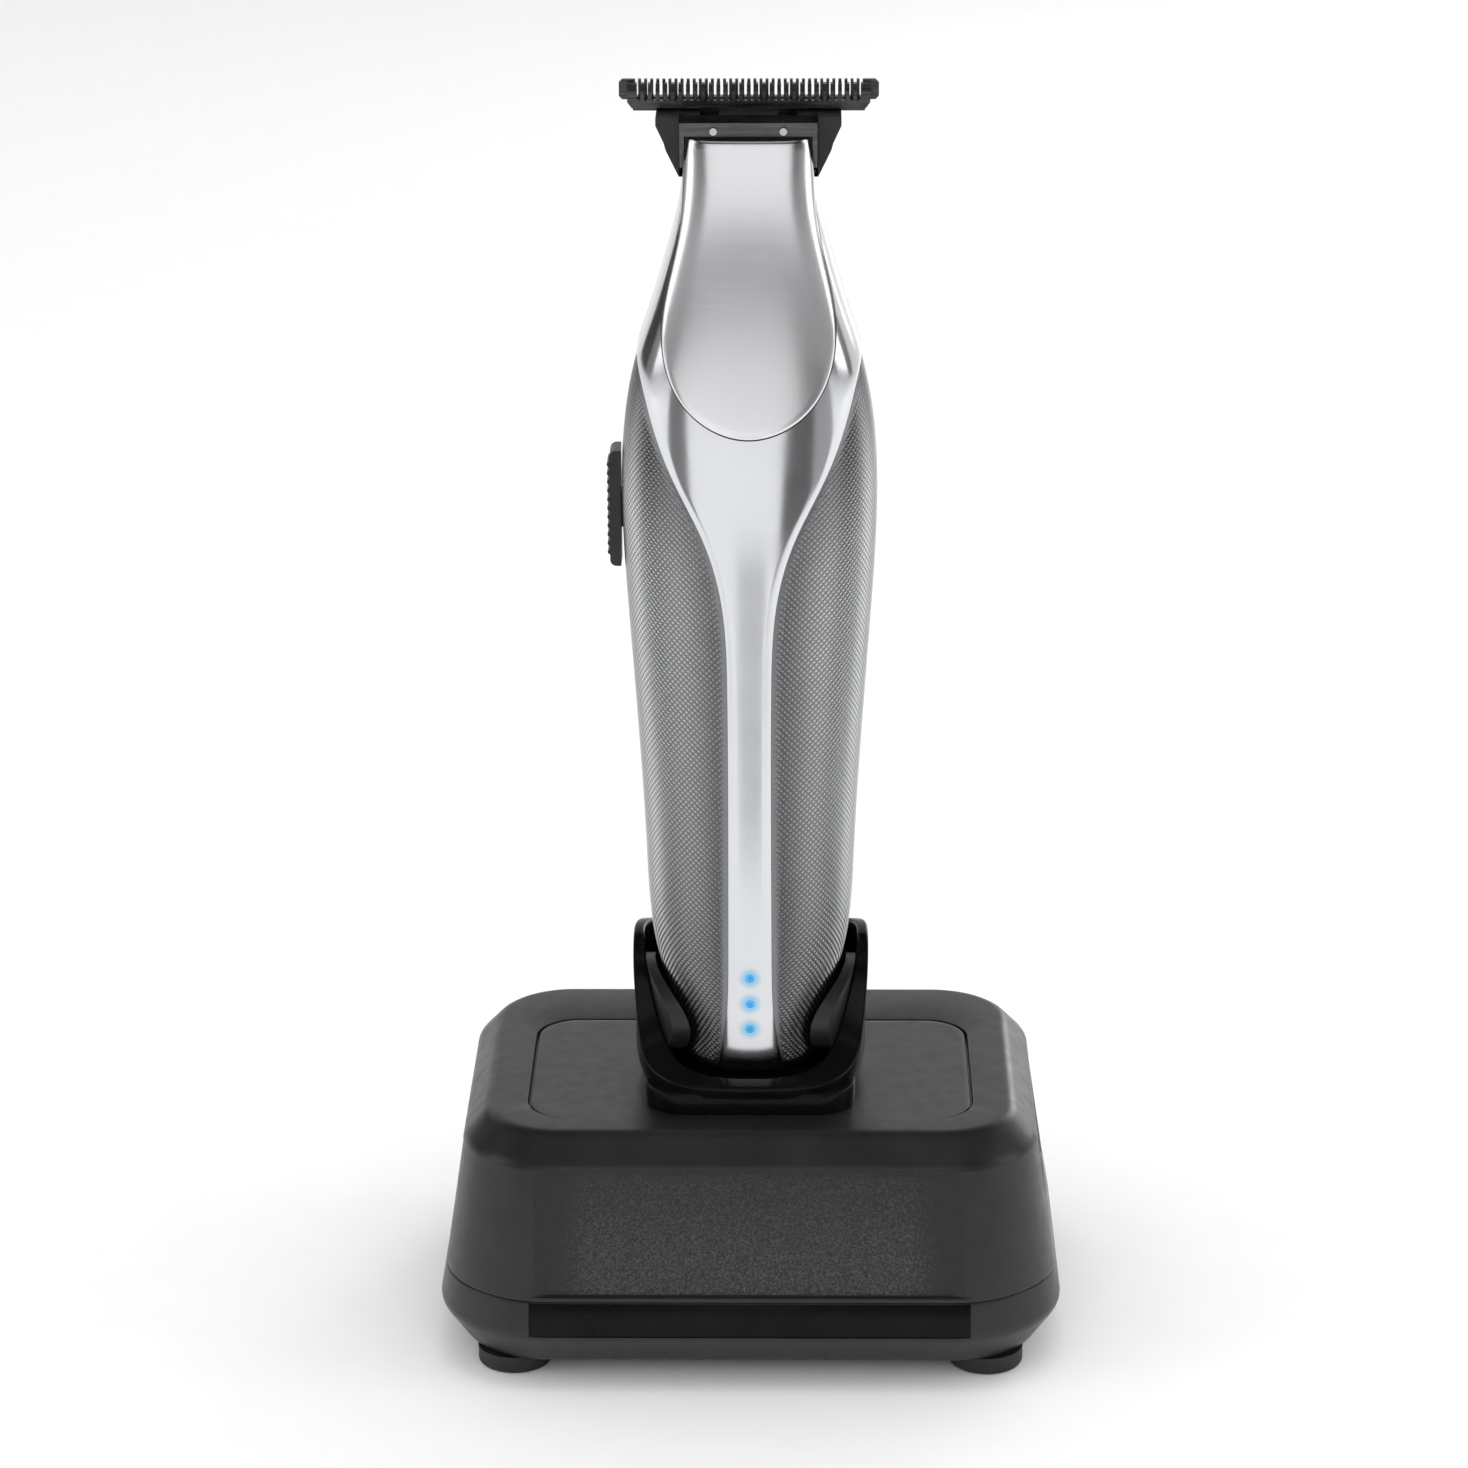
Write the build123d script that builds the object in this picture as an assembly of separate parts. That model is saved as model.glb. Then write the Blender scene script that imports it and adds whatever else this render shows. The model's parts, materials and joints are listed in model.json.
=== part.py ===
from build123d import *
import math
import os

# Cordless beard trimmer standing in its weighted charging stand.
# Millimetres, +Z up, the front of the object faces -Y.
# Origin: centre of the stand's footprint, on the surface that it stands on.

# ---- driving dimensions of the stand ----
FOOT_RADIUS = 5.8
FOOT_HEIGHT = 2.9
FOOT_X, FOOT_Y = 37.0, 26.0
# Outline of the stand at each height: (z, width, depth, corner radius).
TRAY_STATIONS = [(2.9, 89.0, 65.6, 12.5), (8.8, 98.0, 74.6, 18.0), (14.6, 96.0, 72.6, 17.0)]
SHELL_STATIONS = [(14.6, 96.0, 72.6, 17.0), (36.2, 89.6, 67.2, 14.5), (40.5, 82.0, 59.0, 11.6)]
TRAY_FLOOR = 2.6
DECK_Z = 40.5
PANEL_HALF = 33.4
SIDE_PANEL_HALF = 20.0
PANEL_LOW, PANEL_HIGH = 15.4, 35.2
PANEL_RECESS, PANEL_THICK = 0.9, 0.4
STRIP_HALF = 34.2
PLATE_HALF, PLATE_FRONT, PLATE_BACK = 34.8, -24.5, 16.0
PLATE_DEPTH, PLATE_RADIUS, PLATE_GROOVE = 1.2, 7.0, 0.35
STEM_HALF, STEM_FRONT, STEM_BACK, STEM_LOW = 12.0, -14.0, 4.0, 34.0
POST_X, POST_Y, POST_RADIUS = 29.0, 20.0, 3.2
SOCKET_Z = 22.0

# ---- driving dimensions of the trimmer ----
TRIMMER_Y = -5.0
TRIMMER_Z = 44.5
WALL = 2.2
PROUD = 0.5
NECK_TOP = 145.0
BOTTOM_WALL = 3.0
AXIS_Y = -3.0
# Body sections up the trimmer: (height, half width, front, back, squareness).
BODY = [
    (0.0, 8.8, 9.8, 9.8, 2.4), (0.7, 10.2, 11.3, 11.3, 2.4), (2.2, 11.0, 12.2, 12.2, 2.4),
    (5.5, 11.0, 12.5, 12.5, 2.4), (9.0, 12.1, 12.8, 12.8, 2.4), (14.0, 13.7, 13.0, 13.0, 2.4),
    (21.0, 15.2, 13.3, 13.3, 2.4), (35.0, 16.2, 13.8, 13.7, 2.4), (50.0, 17.0, 14.3, 14.1, 2.4),
    (65.0, 18.0, 14.8, 14.6, 2.4), (80.0, 19.0, 15.3, 15.1, 2.4), (92.0, 19.4, 15.5, 15.2, 2.5),
    (103.0, 18.9, 15.4, 14.6, 2.7), (112.0, 17.3, 15.0, 13.6, 3.0), (121.0, 14.4, 14.4, 12.0, 3.3),
    (130.0, 11.7, 13.5, 9.8, 3.5), (137.0, 10.0, 12.5, 7.6, 3.6), (145.0, 9.2, 10.8, 4.6, 3.6),
    (150.0, 9.0, 9.6, 2.6, 3.6),
]
SECTION_POINTS = 24
# Edge of the chrome spine, from the bottom up: (half width, height).
SPINE = [(5.6, -1.0), (4.0, 8.0), (3.4, 22.0), (3.4, 64.0), (4.4, 79.0), (7.2, 88.5),
         (11.6, 97.5), (14.7, 106.0), (16.5, 113.0), (18.4, 120.0)]
# Right half of the teardrop lid, from the top down: (half width, height).
LID = [(8.8, 148.0), (9.6, 144.0), (9.9, 138.0), (11.2, 130.0), (12.8, 121.5),
       (12.5, 115.2), (10.0, 109.3), (5.4, 105.3), (0.0, 103.9)]
LID_GAP = 0.15
# How far back the lid's rolled edge reaches: (depth, height), seen from the side.
LID_BACK = [(-10.5, 100.0), (-10.5, 112.0), (-9.5, 121.0), (-8.5, 138.0), (-7.7, 150.0)]
BLADE_TOP = 154.9
FIXED_HALF, CUTTER_HALF = 19.3, 18.0
FIXED_PITCH, CUTTER_PITCH = 0.9, 1.125
RUNNING_GAP = 0.05
STROKE = 1.0
PIN_X = 4.0
PIN_OUT, PIN_UP = 5.15, 149.1


def box(x0, x1, y0, y1, z0, z1):
    """A block between two corners."""
    return Pos((x0 + x1) / 2, (y0 + y1) / 2, (z0 + z1) / 2) * Box(x1 - x0, y1 - y0, z1 - z0)


def rod_z(x, y, radius, z0, z1):
    """A round bar along Z."""
    return Pos(x, y, (z0 + z1) / 2) * Cylinder(radius, z1 - z0)


def rod_y(x, z, radius, y0, y1):
    """A round bar along Y."""
    return Pos(x, (y0 + y1) / 2, z) * Rot(90, 0, 0) * Cylinder(radius, y1 - y0)


def frustum(stations, inset=0.0):
    """Straight-sided stack of rounded rectangles, one for each station."""
    stack = None
    for low, high in zip(stations, stations[1:]):
        ends = [
            Pos(0, 0, z) * RectangleRounded(w - 2 * inset, d - 2 * inset, max(r - inset, 1.0))
            for z, w, d, r in (low, high)
        ]
        piece = loft(ends, ruled=True)
        stack = piece if stack is None else stack + piece
    return stack


def ring(half_width, front, back, square, z):
    """Closed superellipse outline at height z, as a face."""
    points = []
    for k in range(SECTION_POINTS):
        angle = 2 * math.pi * k / SECTION_POINTS
        c, s = math.cos(angle), math.sin(angle)
        depth = front if s < 0 else back
        reach = (abs(c / half_width) ** square + abs(s / depth) ** square) ** (-1 / square)
        points.append((reach * c, reach * s, z))
    return make_face(Spline(*points, periodic=True))


def barrel(sections, grow=0.0):
    """Smooth body through superellipse sections, grown or shrunk sideways."""
    return loft([ring(w + grow, f + grow, b + grow, n, z) for z, w, f, b, n in sections])


def mirrored(points):
    """The points and their mirror image in X, as one path."""
    return points + [(-x, z) for x, z in reversed(points) if x > 0]


def across(sketch, y0, y1):
    """A sketch drawn in X and Z, made solid from y0 to y1."""
    plane = Plane(origin=(0, y1, 0), x_dir=(1, 0, 0), z_dir=(0, -1, 0))
    return extrude(plane * sketch, amount=y1 - y0)


def sideways(points, half):
    """A polygon drawn in Y and Z, made solid from -half to +half in X."""
    plane = Plane(origin=(-half, 0, 0), x_dir=(0, 1, 0), z_dir=(1, 0, 0))
    return extrude(plane * make_face(Polyline(*points, close=True)), amount=2 * half)


def helix_spring(x, y, z0, z1, radius, wire, turns):
    """Round-wire compression spring along Z."""
    path = Helix(pitch=(z1 - z0) / turns, height=z1 - z0, radius=radius)
    section = Plane(origin=path @ 0, z_dir=path % 0) * Circle(wire)
    return Pos(x, y, z0) * sweep(section, path=path)


# ---- trimmer housing ----

def spine_prism():
    """Everything between the spine's two edges, widening into the head."""
    edge = Spline(*SPINE)
    other = Spline(*[(-x, z) for x, z in SPINE])
    (low_x, low_z), (high_x, high_z) = SPINE[0], SPINE[-1]
    outline = [
        edge,
        Polyline((high_x, high_z), (30, high_z), (30, 170), (-30, 170), (-30, high_z), (-high_x, high_z)),
        other,
        Line((-low_x, low_z), (low_x, low_z)),
    ]
    return across(make_face(outline), -40, 40)


def lid_prism(gap):
    """The teardrop outline of the lid, made smaller by gap."""
    side = [(x - gap if x > 0 else 0.0, z + (gap if z < 110 else 0.0)) for x, z in LID]
    right = Spline(*side, tangents=[(0.35, -1), (-1, 0)])
    left = Spline(*[(-x, z) for x, z in side], tangents=[(-0.35, -1), (1, 0)])
    top = Line(side[0], (-side[0][0], side[0][1]))
    outline = across(make_face([right, left, top]), -40, 0)
    return outline & sideways([(-40, 100), *LID_BACK, (-40, 150)], 40)


def housing_parts():
    """Chrome front and rear housings, the two grips and the lid."""
    chrome, grip = barrel(BODY, PROUD), barrel(BODY)
    hollow = barrel(BODY, -WALL) & box(-40, 40, -40, 40, BOTTOM_WALL, 170)
    below_neck = box(-40, 40, -40, 40, -5, NECK_TOP)
    spine = spine_prism()
    cap_hole = extrude(Pos(0, 0, -1) * ring(6.6, 8.0, 8.0, 2.6, 0), amount=BOTTOM_WALL + 2)
    shell = ((chrome - hollow) & spine & below_neck) - cap_hole
    front = shell & box(-40, 40, -40, 0, -5, 170)
    rear = shell & box(-40, 40, 0, 40, -5, 170)
    sides = ((grip - hollow) & below_neck) - spine - cap_hole
    left = sides & box(-40, 0, -40, 40, -5, 170)
    right = sides & box(0, 40, -40, 40, -5, 170)
    seat = lid_prism(0.0) & (barrel(BODY, 2.0) - barrel(BODY, -0.7))
    front = front - seat
    lid = lid_prism(LID_GAP) & (barrel(BODY, 0.9) - barrel(BODY, -0.65))
    return front, rear, left, right, lid


def add_screw_bosses(front, rear):
    """Two screws from the back hold the rear housing to posts in the front one."""
    inside = barrel(BODY, -0.8)
    screws = []
    for z in (25.0, 88.0):
        post = (rod_y(0, z, 2.6, -20, 6.0) & inside) - rod_y(0, z, 0.9, -9.0, 7.0)
        front = front + post
        sleeve = (rod_y(0, z, 3.4, 6.0, 20) & inside) - rod_y(0, z, 1.1, 5.0, 21)
        rear = (rear + sleeve) - rod_y(0, z, 1.1, 5.0, 21) - rod_y(0, z, 2.1, 12.2, 21)
        shank = rod_y(0, z, 0.88, -6.0, 12.2)
        head = rod_y(0, z, 2.0, 12.2, 13.4) - box(-1.6, 1.6, 12.9, 14, z - 0.2, z + 0.2)
        head = head - box(-0.2, 0.2, 12.9, 14, z - 1.6, z + 1.6)
        screws.append(shank + head)
    return front, rear, screws


# ---- blade set ----

def blade_carrier():
    """Black V-shaped block that caps the neck and carries the blade set."""
    half = [(10.3, 141.9), (12.2, 145.8), (12.5, 146.9), (13.7, 149.5), (13.7, 150.6)]
    wings = across(make_face(Polyline(*mirrored(half), close=True)), -7.5, 0.15)
    neck = barrel(BODY, PROUD + 0.05) & box(-40, 40, -40, 40, 130, NECK_TOP + 0.05)
    room = box(-7.2, 7.2, -5.8, 1.0, NECK_TOP - 1, 151)
    block = wings - neck - room
    arms = box(-10.25, -9.35, -10, -3.9, 142, 153) + box(9.35, 10.25, -10, -3.9, 142, 153)
    pins = rod_y(-PIN_OUT, PIN_UP, 0.6, -8, -6.1) + rod_y(PIN_OUT, PIN_UP, 0.6, -8, -6.1)
    screws = rod_y(-9.3, 148.0, 1.0, -4, 1) + rod_y(9.3, 148.0, 1.0, -4, 1)
    return block - arms - pins - screws


def blade_bracket():
    """Folded metal plate in front of the carrier, with an arm down each side of the lid."""
    face = sideways([(-9.4, 148.3), (-9.4, 150.3), (-8.0, 151.2), (-7.6, 150.5),
                     (-8.6, 149.85), (-8.6, 148.3)], 10.15)
    arms = box(-10.15, -9.45, -9.4, -4.0, 143.4, 150.3) + box(9.45, 10.15, -9.4, -4.0, 143.4, 150.3)
    slope = sideways([(-12, 142), (-12, 148.5), (-7.0, 142)], 20)
    lid_room = lid_prism(-0.3)
    keep = box(-40, 40, -40, 40, 148.2, 160)
    neck = barrel(BODY, PROUD + 0.05) & box(-40, 40, -40, 40, 130, NECK_TOP + 0.05)
    arms = arms - slope - (lid_room - keep) - neck
    holes = rod_y(-PIN_OUT, PIN_UP, 0.6, -10, -7) + rod_y(PIN_OUT, PIN_UP, 0.6, -10, -7)
    return face + arms - holes


def toothed_plate(outline, y0, y1, pitch, half, root, gap):
    """A plate with slots cut down from its top edge, one for each gap between teeth."""
    plate = across(make_face(Polyline(*mirrored(outline), close=True)), y0, y1)
    count = int((2 * half) / pitch)
    first = -pitch * (count - 1) / 2
    slots = [box(first + k * pitch - gap / 2, first + k * pitch + gap / 2, y0 - 1, y1 + 1, root, 160)
             for k in range(count)]
    return plate - slots


def fixed_blade():
    """Wide rear blade: its stem is screwed to the carrier's back."""
    outline = [(11.4, 145.2), (11.4, 150.2), (17.2, 150.2), (17.6, 151.9), (FIXED_HALF - 0.5, 151.9),
               (FIXED_HALF, 152.4), (FIXED_HALF, BLADE_TOP - 0.5), (FIXED_HALF - 0.5, BLADE_TOP)]
    blade = toothed_plate(outline, 0.2, 1.8, FIXED_PITCH, 17.2, BLADE_TOP - 2.6, 0.45)
    bevel = sideways([(2.6, BLADE_TOP - 3.9), (2.6, BLADE_TOP + 0.5), (0.75, BLADE_TOP + 0.5)], 30)
    holes = rod_y(-9.3, 148.0, 1.1, 0, 3) + rod_y(9.3, 148.0, 1.1, 0, 3)
    return blade - bevel - holes


def cutter_blade():
    """Narrower front blade that slides across the fixed one."""
    top = BLADE_TOP - 0.4
    outline = [(5.5, 146.3), (5.5, 151.0), (CUTTER_HALF - 0.65, 151.0), (CUTTER_HALF, 151.9),
               (CUTTER_HALF, top)]
    back = 0.2 - RUNNING_GAP
    blade = toothed_plate(outline, -2.0, back, CUTTER_PITCH, 17.4, top - 2.4, 0.55)
    bevel = sideways([(-3.0, top - 2.6), (-3.0, top + 1.2), (-0.6, top + 1.2)], 30)
    return blade - bevel


def cam_follower():
    """Plastic yoke under the cutter: the eccentric pin works in its slot."""
    block = box(-5.0, 5.0, -5.6, -0.4, 141.6, 145.9)
    tongue = box(-4.4, 4.4, -5.0, -2.1, 145.9, 150.6)
    reach = STROKE + 1.0
    slot = box(-1.3, 1.3, AXIS_Y - reach - 0.3, AXIS_Y + reach + 0.3, 141, 145.2)
    return block + tongue - slot


def tension_spring():
    """Bent wire in the neck that presses the follower towards the fixed blade."""
    route = FilletPolyline((-3.6, -7.0, 134.0), (-3.6, -6.4, 143.4), (3.6, -6.4, 143.4),
                           (3.6, -7.0, 134.0), radius=1.5)
    section = Plane(origin=route @ 0, z_dir=route % 0) * Circle(0.35)
    return sweep(section, path=route)


# ---- drive, power and switch ----

def motor_parts():
    """Motor can with two magnets inside, its collar, and the shaft with armature and eccentric pin."""
    can = rod_z(0, AXIS_Y, 7.5, 96.0, 121.0) + rod_z(0, AXIS_Y, 3.0, 121.0, 122.6)
    can = can - rod_z(0, AXIS_Y, 6.7, 97.2, 119.8) - rod_z(0, AXIS_Y, 1.05, 94.0, 123.0)
    magnets = rod_z(0, AXIS_Y, 6.68, 99.0, 117.0) - rod_z(0, AXIS_Y, 5.4, 98.0, 118.0)
    magnets = magnets - box(-2.0, 2.0, -12.0, 6.0, 98.0, 118.0)
    collar = rod_z(0, AXIS_Y, 8.4, 116.0, 123.4) - rod_z(0, AXIS_Y, 7.52, 115.0, 121.0)
    collar = collar - rod_z(0, AXIS_Y, 3.1, 120.0, 124.0)
    shaft = rod_z(0, AXIS_Y, 1.0, 96.2, 134.0)
    armature = rod_z(0, AXIS_Y, 5.0, 101.0, 115.0) - rod_z(0, AXIS_Y, 1.0, 100.0, 116.0)
    for angle in (90, 210, 330):
        slot = Pos(0, AXIS_Y, 0) * Rot(0, 0, angle) * box(2.4, 6.0, -0.6, 0.6, 100.0, 116.0)
        armature = armature - slot
    hub = rod_z(0, AXIS_Y, 3.6, 129.0, 138.5) - rod_z(0, AXIS_Y, 1.0, 128.0, 134.0)
    pin = rod_z(0, AXIS_Y + STROKE, 1.0, 138.5, 144.6)
    return can, magnets, collar, shaft, armature, hub + pin


def power_parts():
    """Battery cell, its tray, the circuit boards and the three charge lamps."""
    cell = rod_z(0, AXIS_Y, 7.0, 32.0, 80.0) + rod_z(0, AXIS_Y, 2.4, 80.0, 81.2)
    tray = box(-7.5, 7.5, 4.2, 5.6, 29.6, 84.0)
    tray = tray + box(-6.0, 6.0, -6.0, 4.2, 30.2, 31.8) + box(-6.0, 6.0, -6.0, 4.2, 81.4, 83.0)
    board = box(-7.6, 7.6, 8.0, 9.2, 18.0, 94.0) - rod_y(0, 25.0, 3.6, 7, 10) - rod_y(0, 88.0, 3.6, 7, 10)
    chip = box(-3.0, 3.0, 6.9, 8.0, 50.0, 56.0) + box(-5.5, -1.5, 6.4, 8.0, 64.0, 70.0)
    lamp_board = box(-2.6, 2.6, -9.6, -8.6, 5.6, 20.4)
    return cell, tray, board, chip, lamp_board


def lamp_lenses(front):
    """Three clear light pipes, flush in the spine."""
    surface = barrel(BODY, PROUD)
    heights = (8.4, 12.7, 17.0)
    lenses = [rod_y(0, z, 0.8, -20, -9.7) & surface for z in heights]
    for z in heights:
        front = front - rod_y(0, z, 0.8, -20, -9)
    return front, lenses


def end_cap_parts():
    """Bottom plug with two charging contacts and the charging jack."""
    plug = extrude(ring(6.55, 7.95, 7.95, 2.6, 0), amount=BOTTOM_WALL)
    flange = Pos(0, 0, BOTTOM_WALL) * extrude(ring(7.8, 9.2, 9.2, 2.6, 0), amount=1.2)
    cap = plug + flange
    contacts = []
    for x in (-PIN_X, PIN_X):
        cap = cap - rod_z(x, 0, 1.6, -1, 6)
        contacts.append(rod_z(x, 0, 1.58, 0.0, 1.0) + rod_z(x, 0, 0.9, 1.0, 6.0))
    cap = cap - rod_z(0, 4.6, 2.3, -1, 6)
    jack = rod_z(0, 4.6, 2.28, 0.1, 10.0) - rod_z(0, 4.6, 1.2, -1, 8.0)
    return cap, contacts, jack


def switch_parts(left):
    """Ribbed slide button on the left grip, with the slide switch behind it."""
    slot = box(-25, -14, -1.5, 1.5, 85.6, 96.4)
    left = left - slot
    button = box(-21.3, -19.6, -2.7, 2.7, 80.4, 98.6)
    button = fillet(button.edges().filter_by(Axis.Y).group_by(Axis.X)[0], 1.0)
    ribs = [Pos(-21.25, 0, 82.6 + 1.38 * k) * Rot(90, 0, 0) * Cylinder(0.42, 5.0) for k in range(11)]
    stem = box(-19.7, -14.6, -1.2, 1.2, 86.2, 92.0)
    body = box(-14.4, -10.6, -3.0, 3.0, 82.0, 100.0) - box(-14.6, -12.6, -1.6, 1.6, 84.0, 98.0)
    body = body & barrel(BODY, -WALL - 0.05)
    return left, button + ribs + stem, body


# ---- stand ----

def wall_slab(stations, low, high, deep, thin, half):
    """Slab under the front face between two heights, from deep to deep minus thin below it."""
    (z0, _, d0, _), (z1, _, d1, _) = stations

    def face(z, inset):
        return -(d0 + (d1 - d0) * (z - z0) / (z1 - z0)) / 2 + inset

    corners = [(face(low, deep), low), (face(low, deep - thin), low),
               (face(high, deep - thin), high), (face(high, deep), high)]
    return sideways(corners, half)


def side_slab(low, high, deep, thin, half):
    """The same slab on the right-hand wall of the upper shell."""
    (z0, w0, _, _), (z1, w1, _, _) = SHELL_STATIONS[:2]

    def face(z, inset):
        return (w0 + (w1 - w0) * (z - z0) / (z1 - z0)) / 2 - inset

    corners = [(face(low, deep), low), (face(low, deep - thin), low),
               (face(high, deep - thin), high), (face(high, deep), high)]
    return across(make_face(Polyline(*corners, close=True)), -half, half)


def stand_shell():
    """Upper shell of the stand, with its recesses, posts and openings."""
    outer = frustum(SHELL_STATIONS)
    inner = frustum([(14.0, 91.2, 67.8, 14.6), (36.0, 84.8, 62.4, 12.0), (38.1, 78.0, 55.0, 9.6)])
    shell = outer - inner
    for x in (-POST_X, POST_X):
        for y in (-POST_Y, POST_Y):
            shell = shell + rod_z(x, y, POST_RADIUS, 5.6, 38.2) - rod_z(x, y, 1.2, 5.0, 20.0)
    for x in (-16.0, 16.0):
        shell = shell + rod_z(x, 18.0, 2.4, 31.3, 38.2) - rod_z(x, 18.0, 0.9, 30.0, 37.0)
    shell = shell - wall_slab(SHELL_STATIONS[:2], PANEL_LOW, PANEL_HIGH, PANEL_RECESS, 3, PANEL_HALF)
    recess = side_slab(PANEL_LOW, PANEL_HIGH, PANEL_RECESS, 3, SIDE_PANEL_HALF)
    shell = shell - recess - mirror(recess, about=Plane.YZ)
    middle = (PLATE_FRONT + PLATE_BACK) / 2
    plate_room = RectangleRounded(2 * PLATE_HALF, PLATE_BACK - PLATE_FRONT, PLATE_RADIUS)
    shell = shell - extrude(Pos(0, middle, DECK_Z - PLATE_DEPTH) * plate_room, amount=5)
    shell = shell - box(-STEM_HALF, STEM_HALF, STEM_FRONT, STEM_BACK, 36, 45)
    for x in (-14.2, 14.2):
        shell = shell - rod_z(x, TRIMMER_Y, 1.0, 36, 45)
    return shell - rod_y(0, SOCKET_Z, 4.3, 30, 40)


def stand_panels():
    """Textured insert in the front and two plain inserts in the sides."""
    low, high = PANEL_LOW + 0.1, PANEL_HIGH - 0.1
    front = wall_slab(SHELL_STATIONS[:2], low, high, PANEL_RECESS, PANEL_THICK, PANEL_HALF - 0.1)
    side = side_slab(low, high, PANEL_RECESS, PANEL_THICK, SIDE_PANEL_HALF - 0.1)
    return front, [side, mirror(side, about=Plane.YZ)]


def stand_tray():
    """Lower tray: it closes the stand, carries the weight and the feet."""
    floor_z = TRAY_STATIONS[0][0] + TRAY_FLOOR
    inner = frustum([(floor_z, 86.0, 62.6, 11.0), (8.8, 93.2, 69.8, 15.6), (14.7, 91.2, 67.8, 14.6)])
    tray = frustum(TRAY_STATIONS) - inner
    tray = tray - wall_slab(TRAY_STATIONS[1:], 9.0, 14.4, 0.8, 3, STRIP_HALF)
    for x in (-POST_X, POST_X):
        for y in (-POST_Y, POST_Y):
            tray = tray - rod_z(x, y, 1.5, 0, 7) - rod_z(x, y, 2.7, 0, 4.4)
    for x in (-FOOT_X, FOOT_X):
        for y in (-FOOT_Y, FOOT_Y):
            tray = tray - rod_z(x, y, 3.0, 0, 4.1)
    return tray


def deck_plate():
    """Plate let into the deck, with an open groove behind it and at its sides."""
    middle = (PLATE_FRONT + PLATE_BACK) / 2
    depth = PLATE_BACK - PLATE_FRONT
    low = RectangleRounded(2 * PLATE_HALF - 0.02, depth - 0.02, PLATE_RADIUS - 0.01)
    inset = PLATE_GROOVE / 2
    high = RectangleRounded(2 * (PLATE_HALF - PLATE_GROOVE), depth - PLATE_GROOVE, PLATE_RADIUS - inset)
    base_z = DECK_Z - PLATE_DEPTH
    plate = extrude(Pos(0, middle, base_z) * low, amount=0.5)
    plate = plate + extrude(Pos(0, middle - inset, base_z + 0.5) * high, amount=PLATE_DEPTH - 0.5)
    plate = plate - box(-STEM_HALF, STEM_HALF, STEM_FRONT, STEM_BACK, 36, 45)
    for x in (-14.2, 14.2):
        plate = plate - rod_z(x, TRIMMER_Y, 1.0, 36, 45)
    return plate


# Cradle cup: (z, half width, front, back, squareness) about the trimmer's axis.
CUP_OUTER = [(43.4, 16.6, 18.7, 16.4, 3.0), (45.0, 17.0, 19.0, 16.8, 3.0), (51.0, 17.6, 19.2, 17.2, 3.0),
             (58.0, 18.2, 19.3, 17.4, 3.0), (63.8, 18.4, 19.3, 17.4, 3.0)]
CUP_INNER = [(44.35, 13.4, 15.8, 13.8, 2.8), (50.0, 14.5, 15.9, 14.4, 2.8), (56.0, 15.7, 16.1, 15.0, 2.8),
             (61.0, 16.5, 16.5, 15.4, 2.8), (66.5, 17.1, 17.0, 15.7, 2.8)]
PAD_INNER = [(44.0, 11.5, 15.0, 13.4, 2.8), (50.5, 11.6, 15.0, 13.6, 2.8), (54.0, 12.7, 15.2, 13.8, 2.8),
             (58.5, 14.3, 15.4, 14.2, 2.8), (62.0, 15.3, 15.8, 14.6, 2.8)]
# Rim of the cup seen from the side, from the low front round to the back: (y, z).
CUP_RIM = [(-26.0, 45.3), (-22.5, 45.5), (-19.5, 46.2), (-16.5, 47.6), (-13.7, 50.2), (-11.6, 54.0),
           (-9.3, 58.6), (-6.2, 62.2), (-2.0, 63.6), (3.0, 63.1), (8.0, 61.2), (13.5, 58.4)]


def rim_cutter():
    """What the U-shaped front opening and the lowered back take away, seen from the side."""
    plane = Plane(origin=(-30, 0, 0), x_dir=(0, 1, 0), z_dir=(1, 0, 0))
    curve = Spline(*CUP_RIM)
    (front_y, front_z), (back_y, back_z) = CUP_RIM[0], CUP_RIM[-1]
    rest = Polyline((back_y, back_z), (back_y + 6, back_z), (back_y + 6, 80), (front_y - 6, 80),
                    (front_y - 6, front_z), (front_y, front_z))
    return extrude(plane * make_face([curve, rest]), amount=60)


def cradle():
    """Cup that holds the trimmer upright, on a low plinth, with a stem through the deck."""
    shift = Pos(0, TRIMMER_Y, 0)
    cup = shift * barrel(CUP_OUTER) - rim_cutter()
    plinth = extrude(Pos(0, -5.5, DECK_Z) * RectangleRounded(32.8, 35.5, 6.0), amount=3.6)
    stem = box(-STEM_HALF + 0.1, STEM_HALF - 0.1, STEM_FRONT + 0.1, STEM_BACK - 0.1, STEM_LOW, DECK_Z + 0.5)
    body = cup + plinth + stem - shift * barrel(CUP_INNER)
    body = body - box(-8.1, 8.1, TRIMMER_Y - 5.1, TRIMMER_Y + 5.1, STEM_LOW - 1, 42.6)
    for x in (-PIN_X, PIN_X):
        body = body - rod_z(x, TRIMMER_Y, 1.3, 42, 46)
    for x in (-14.2, 14.2):
        body = body - rod_z(x, TRIMMER_Y, 0.9, 40, 43.2)
    return body


def cradle_pads():
    """Two lens-shaped pads on the cup's side walls that steady the trimmer's narrow end."""
    shift = Pos(0, TRIMMER_Y, 0)
    liner = shift * (barrel(CUP_INNER, -0.02) - barrel(PAD_INNER))
    lens = Pos(0, TRIMMER_Y - 3.0, 53.5) * Rot(0, 90, 0) * extrude(Ellipse(7.4, 9.0), amount=40, both=True)
    pads = (liner & lens & box(-30, 30, -30, 30, 44.6, 61.8)).solids()
    return [pad for pad in pads if abs(pad.center().X) > 8]


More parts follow.
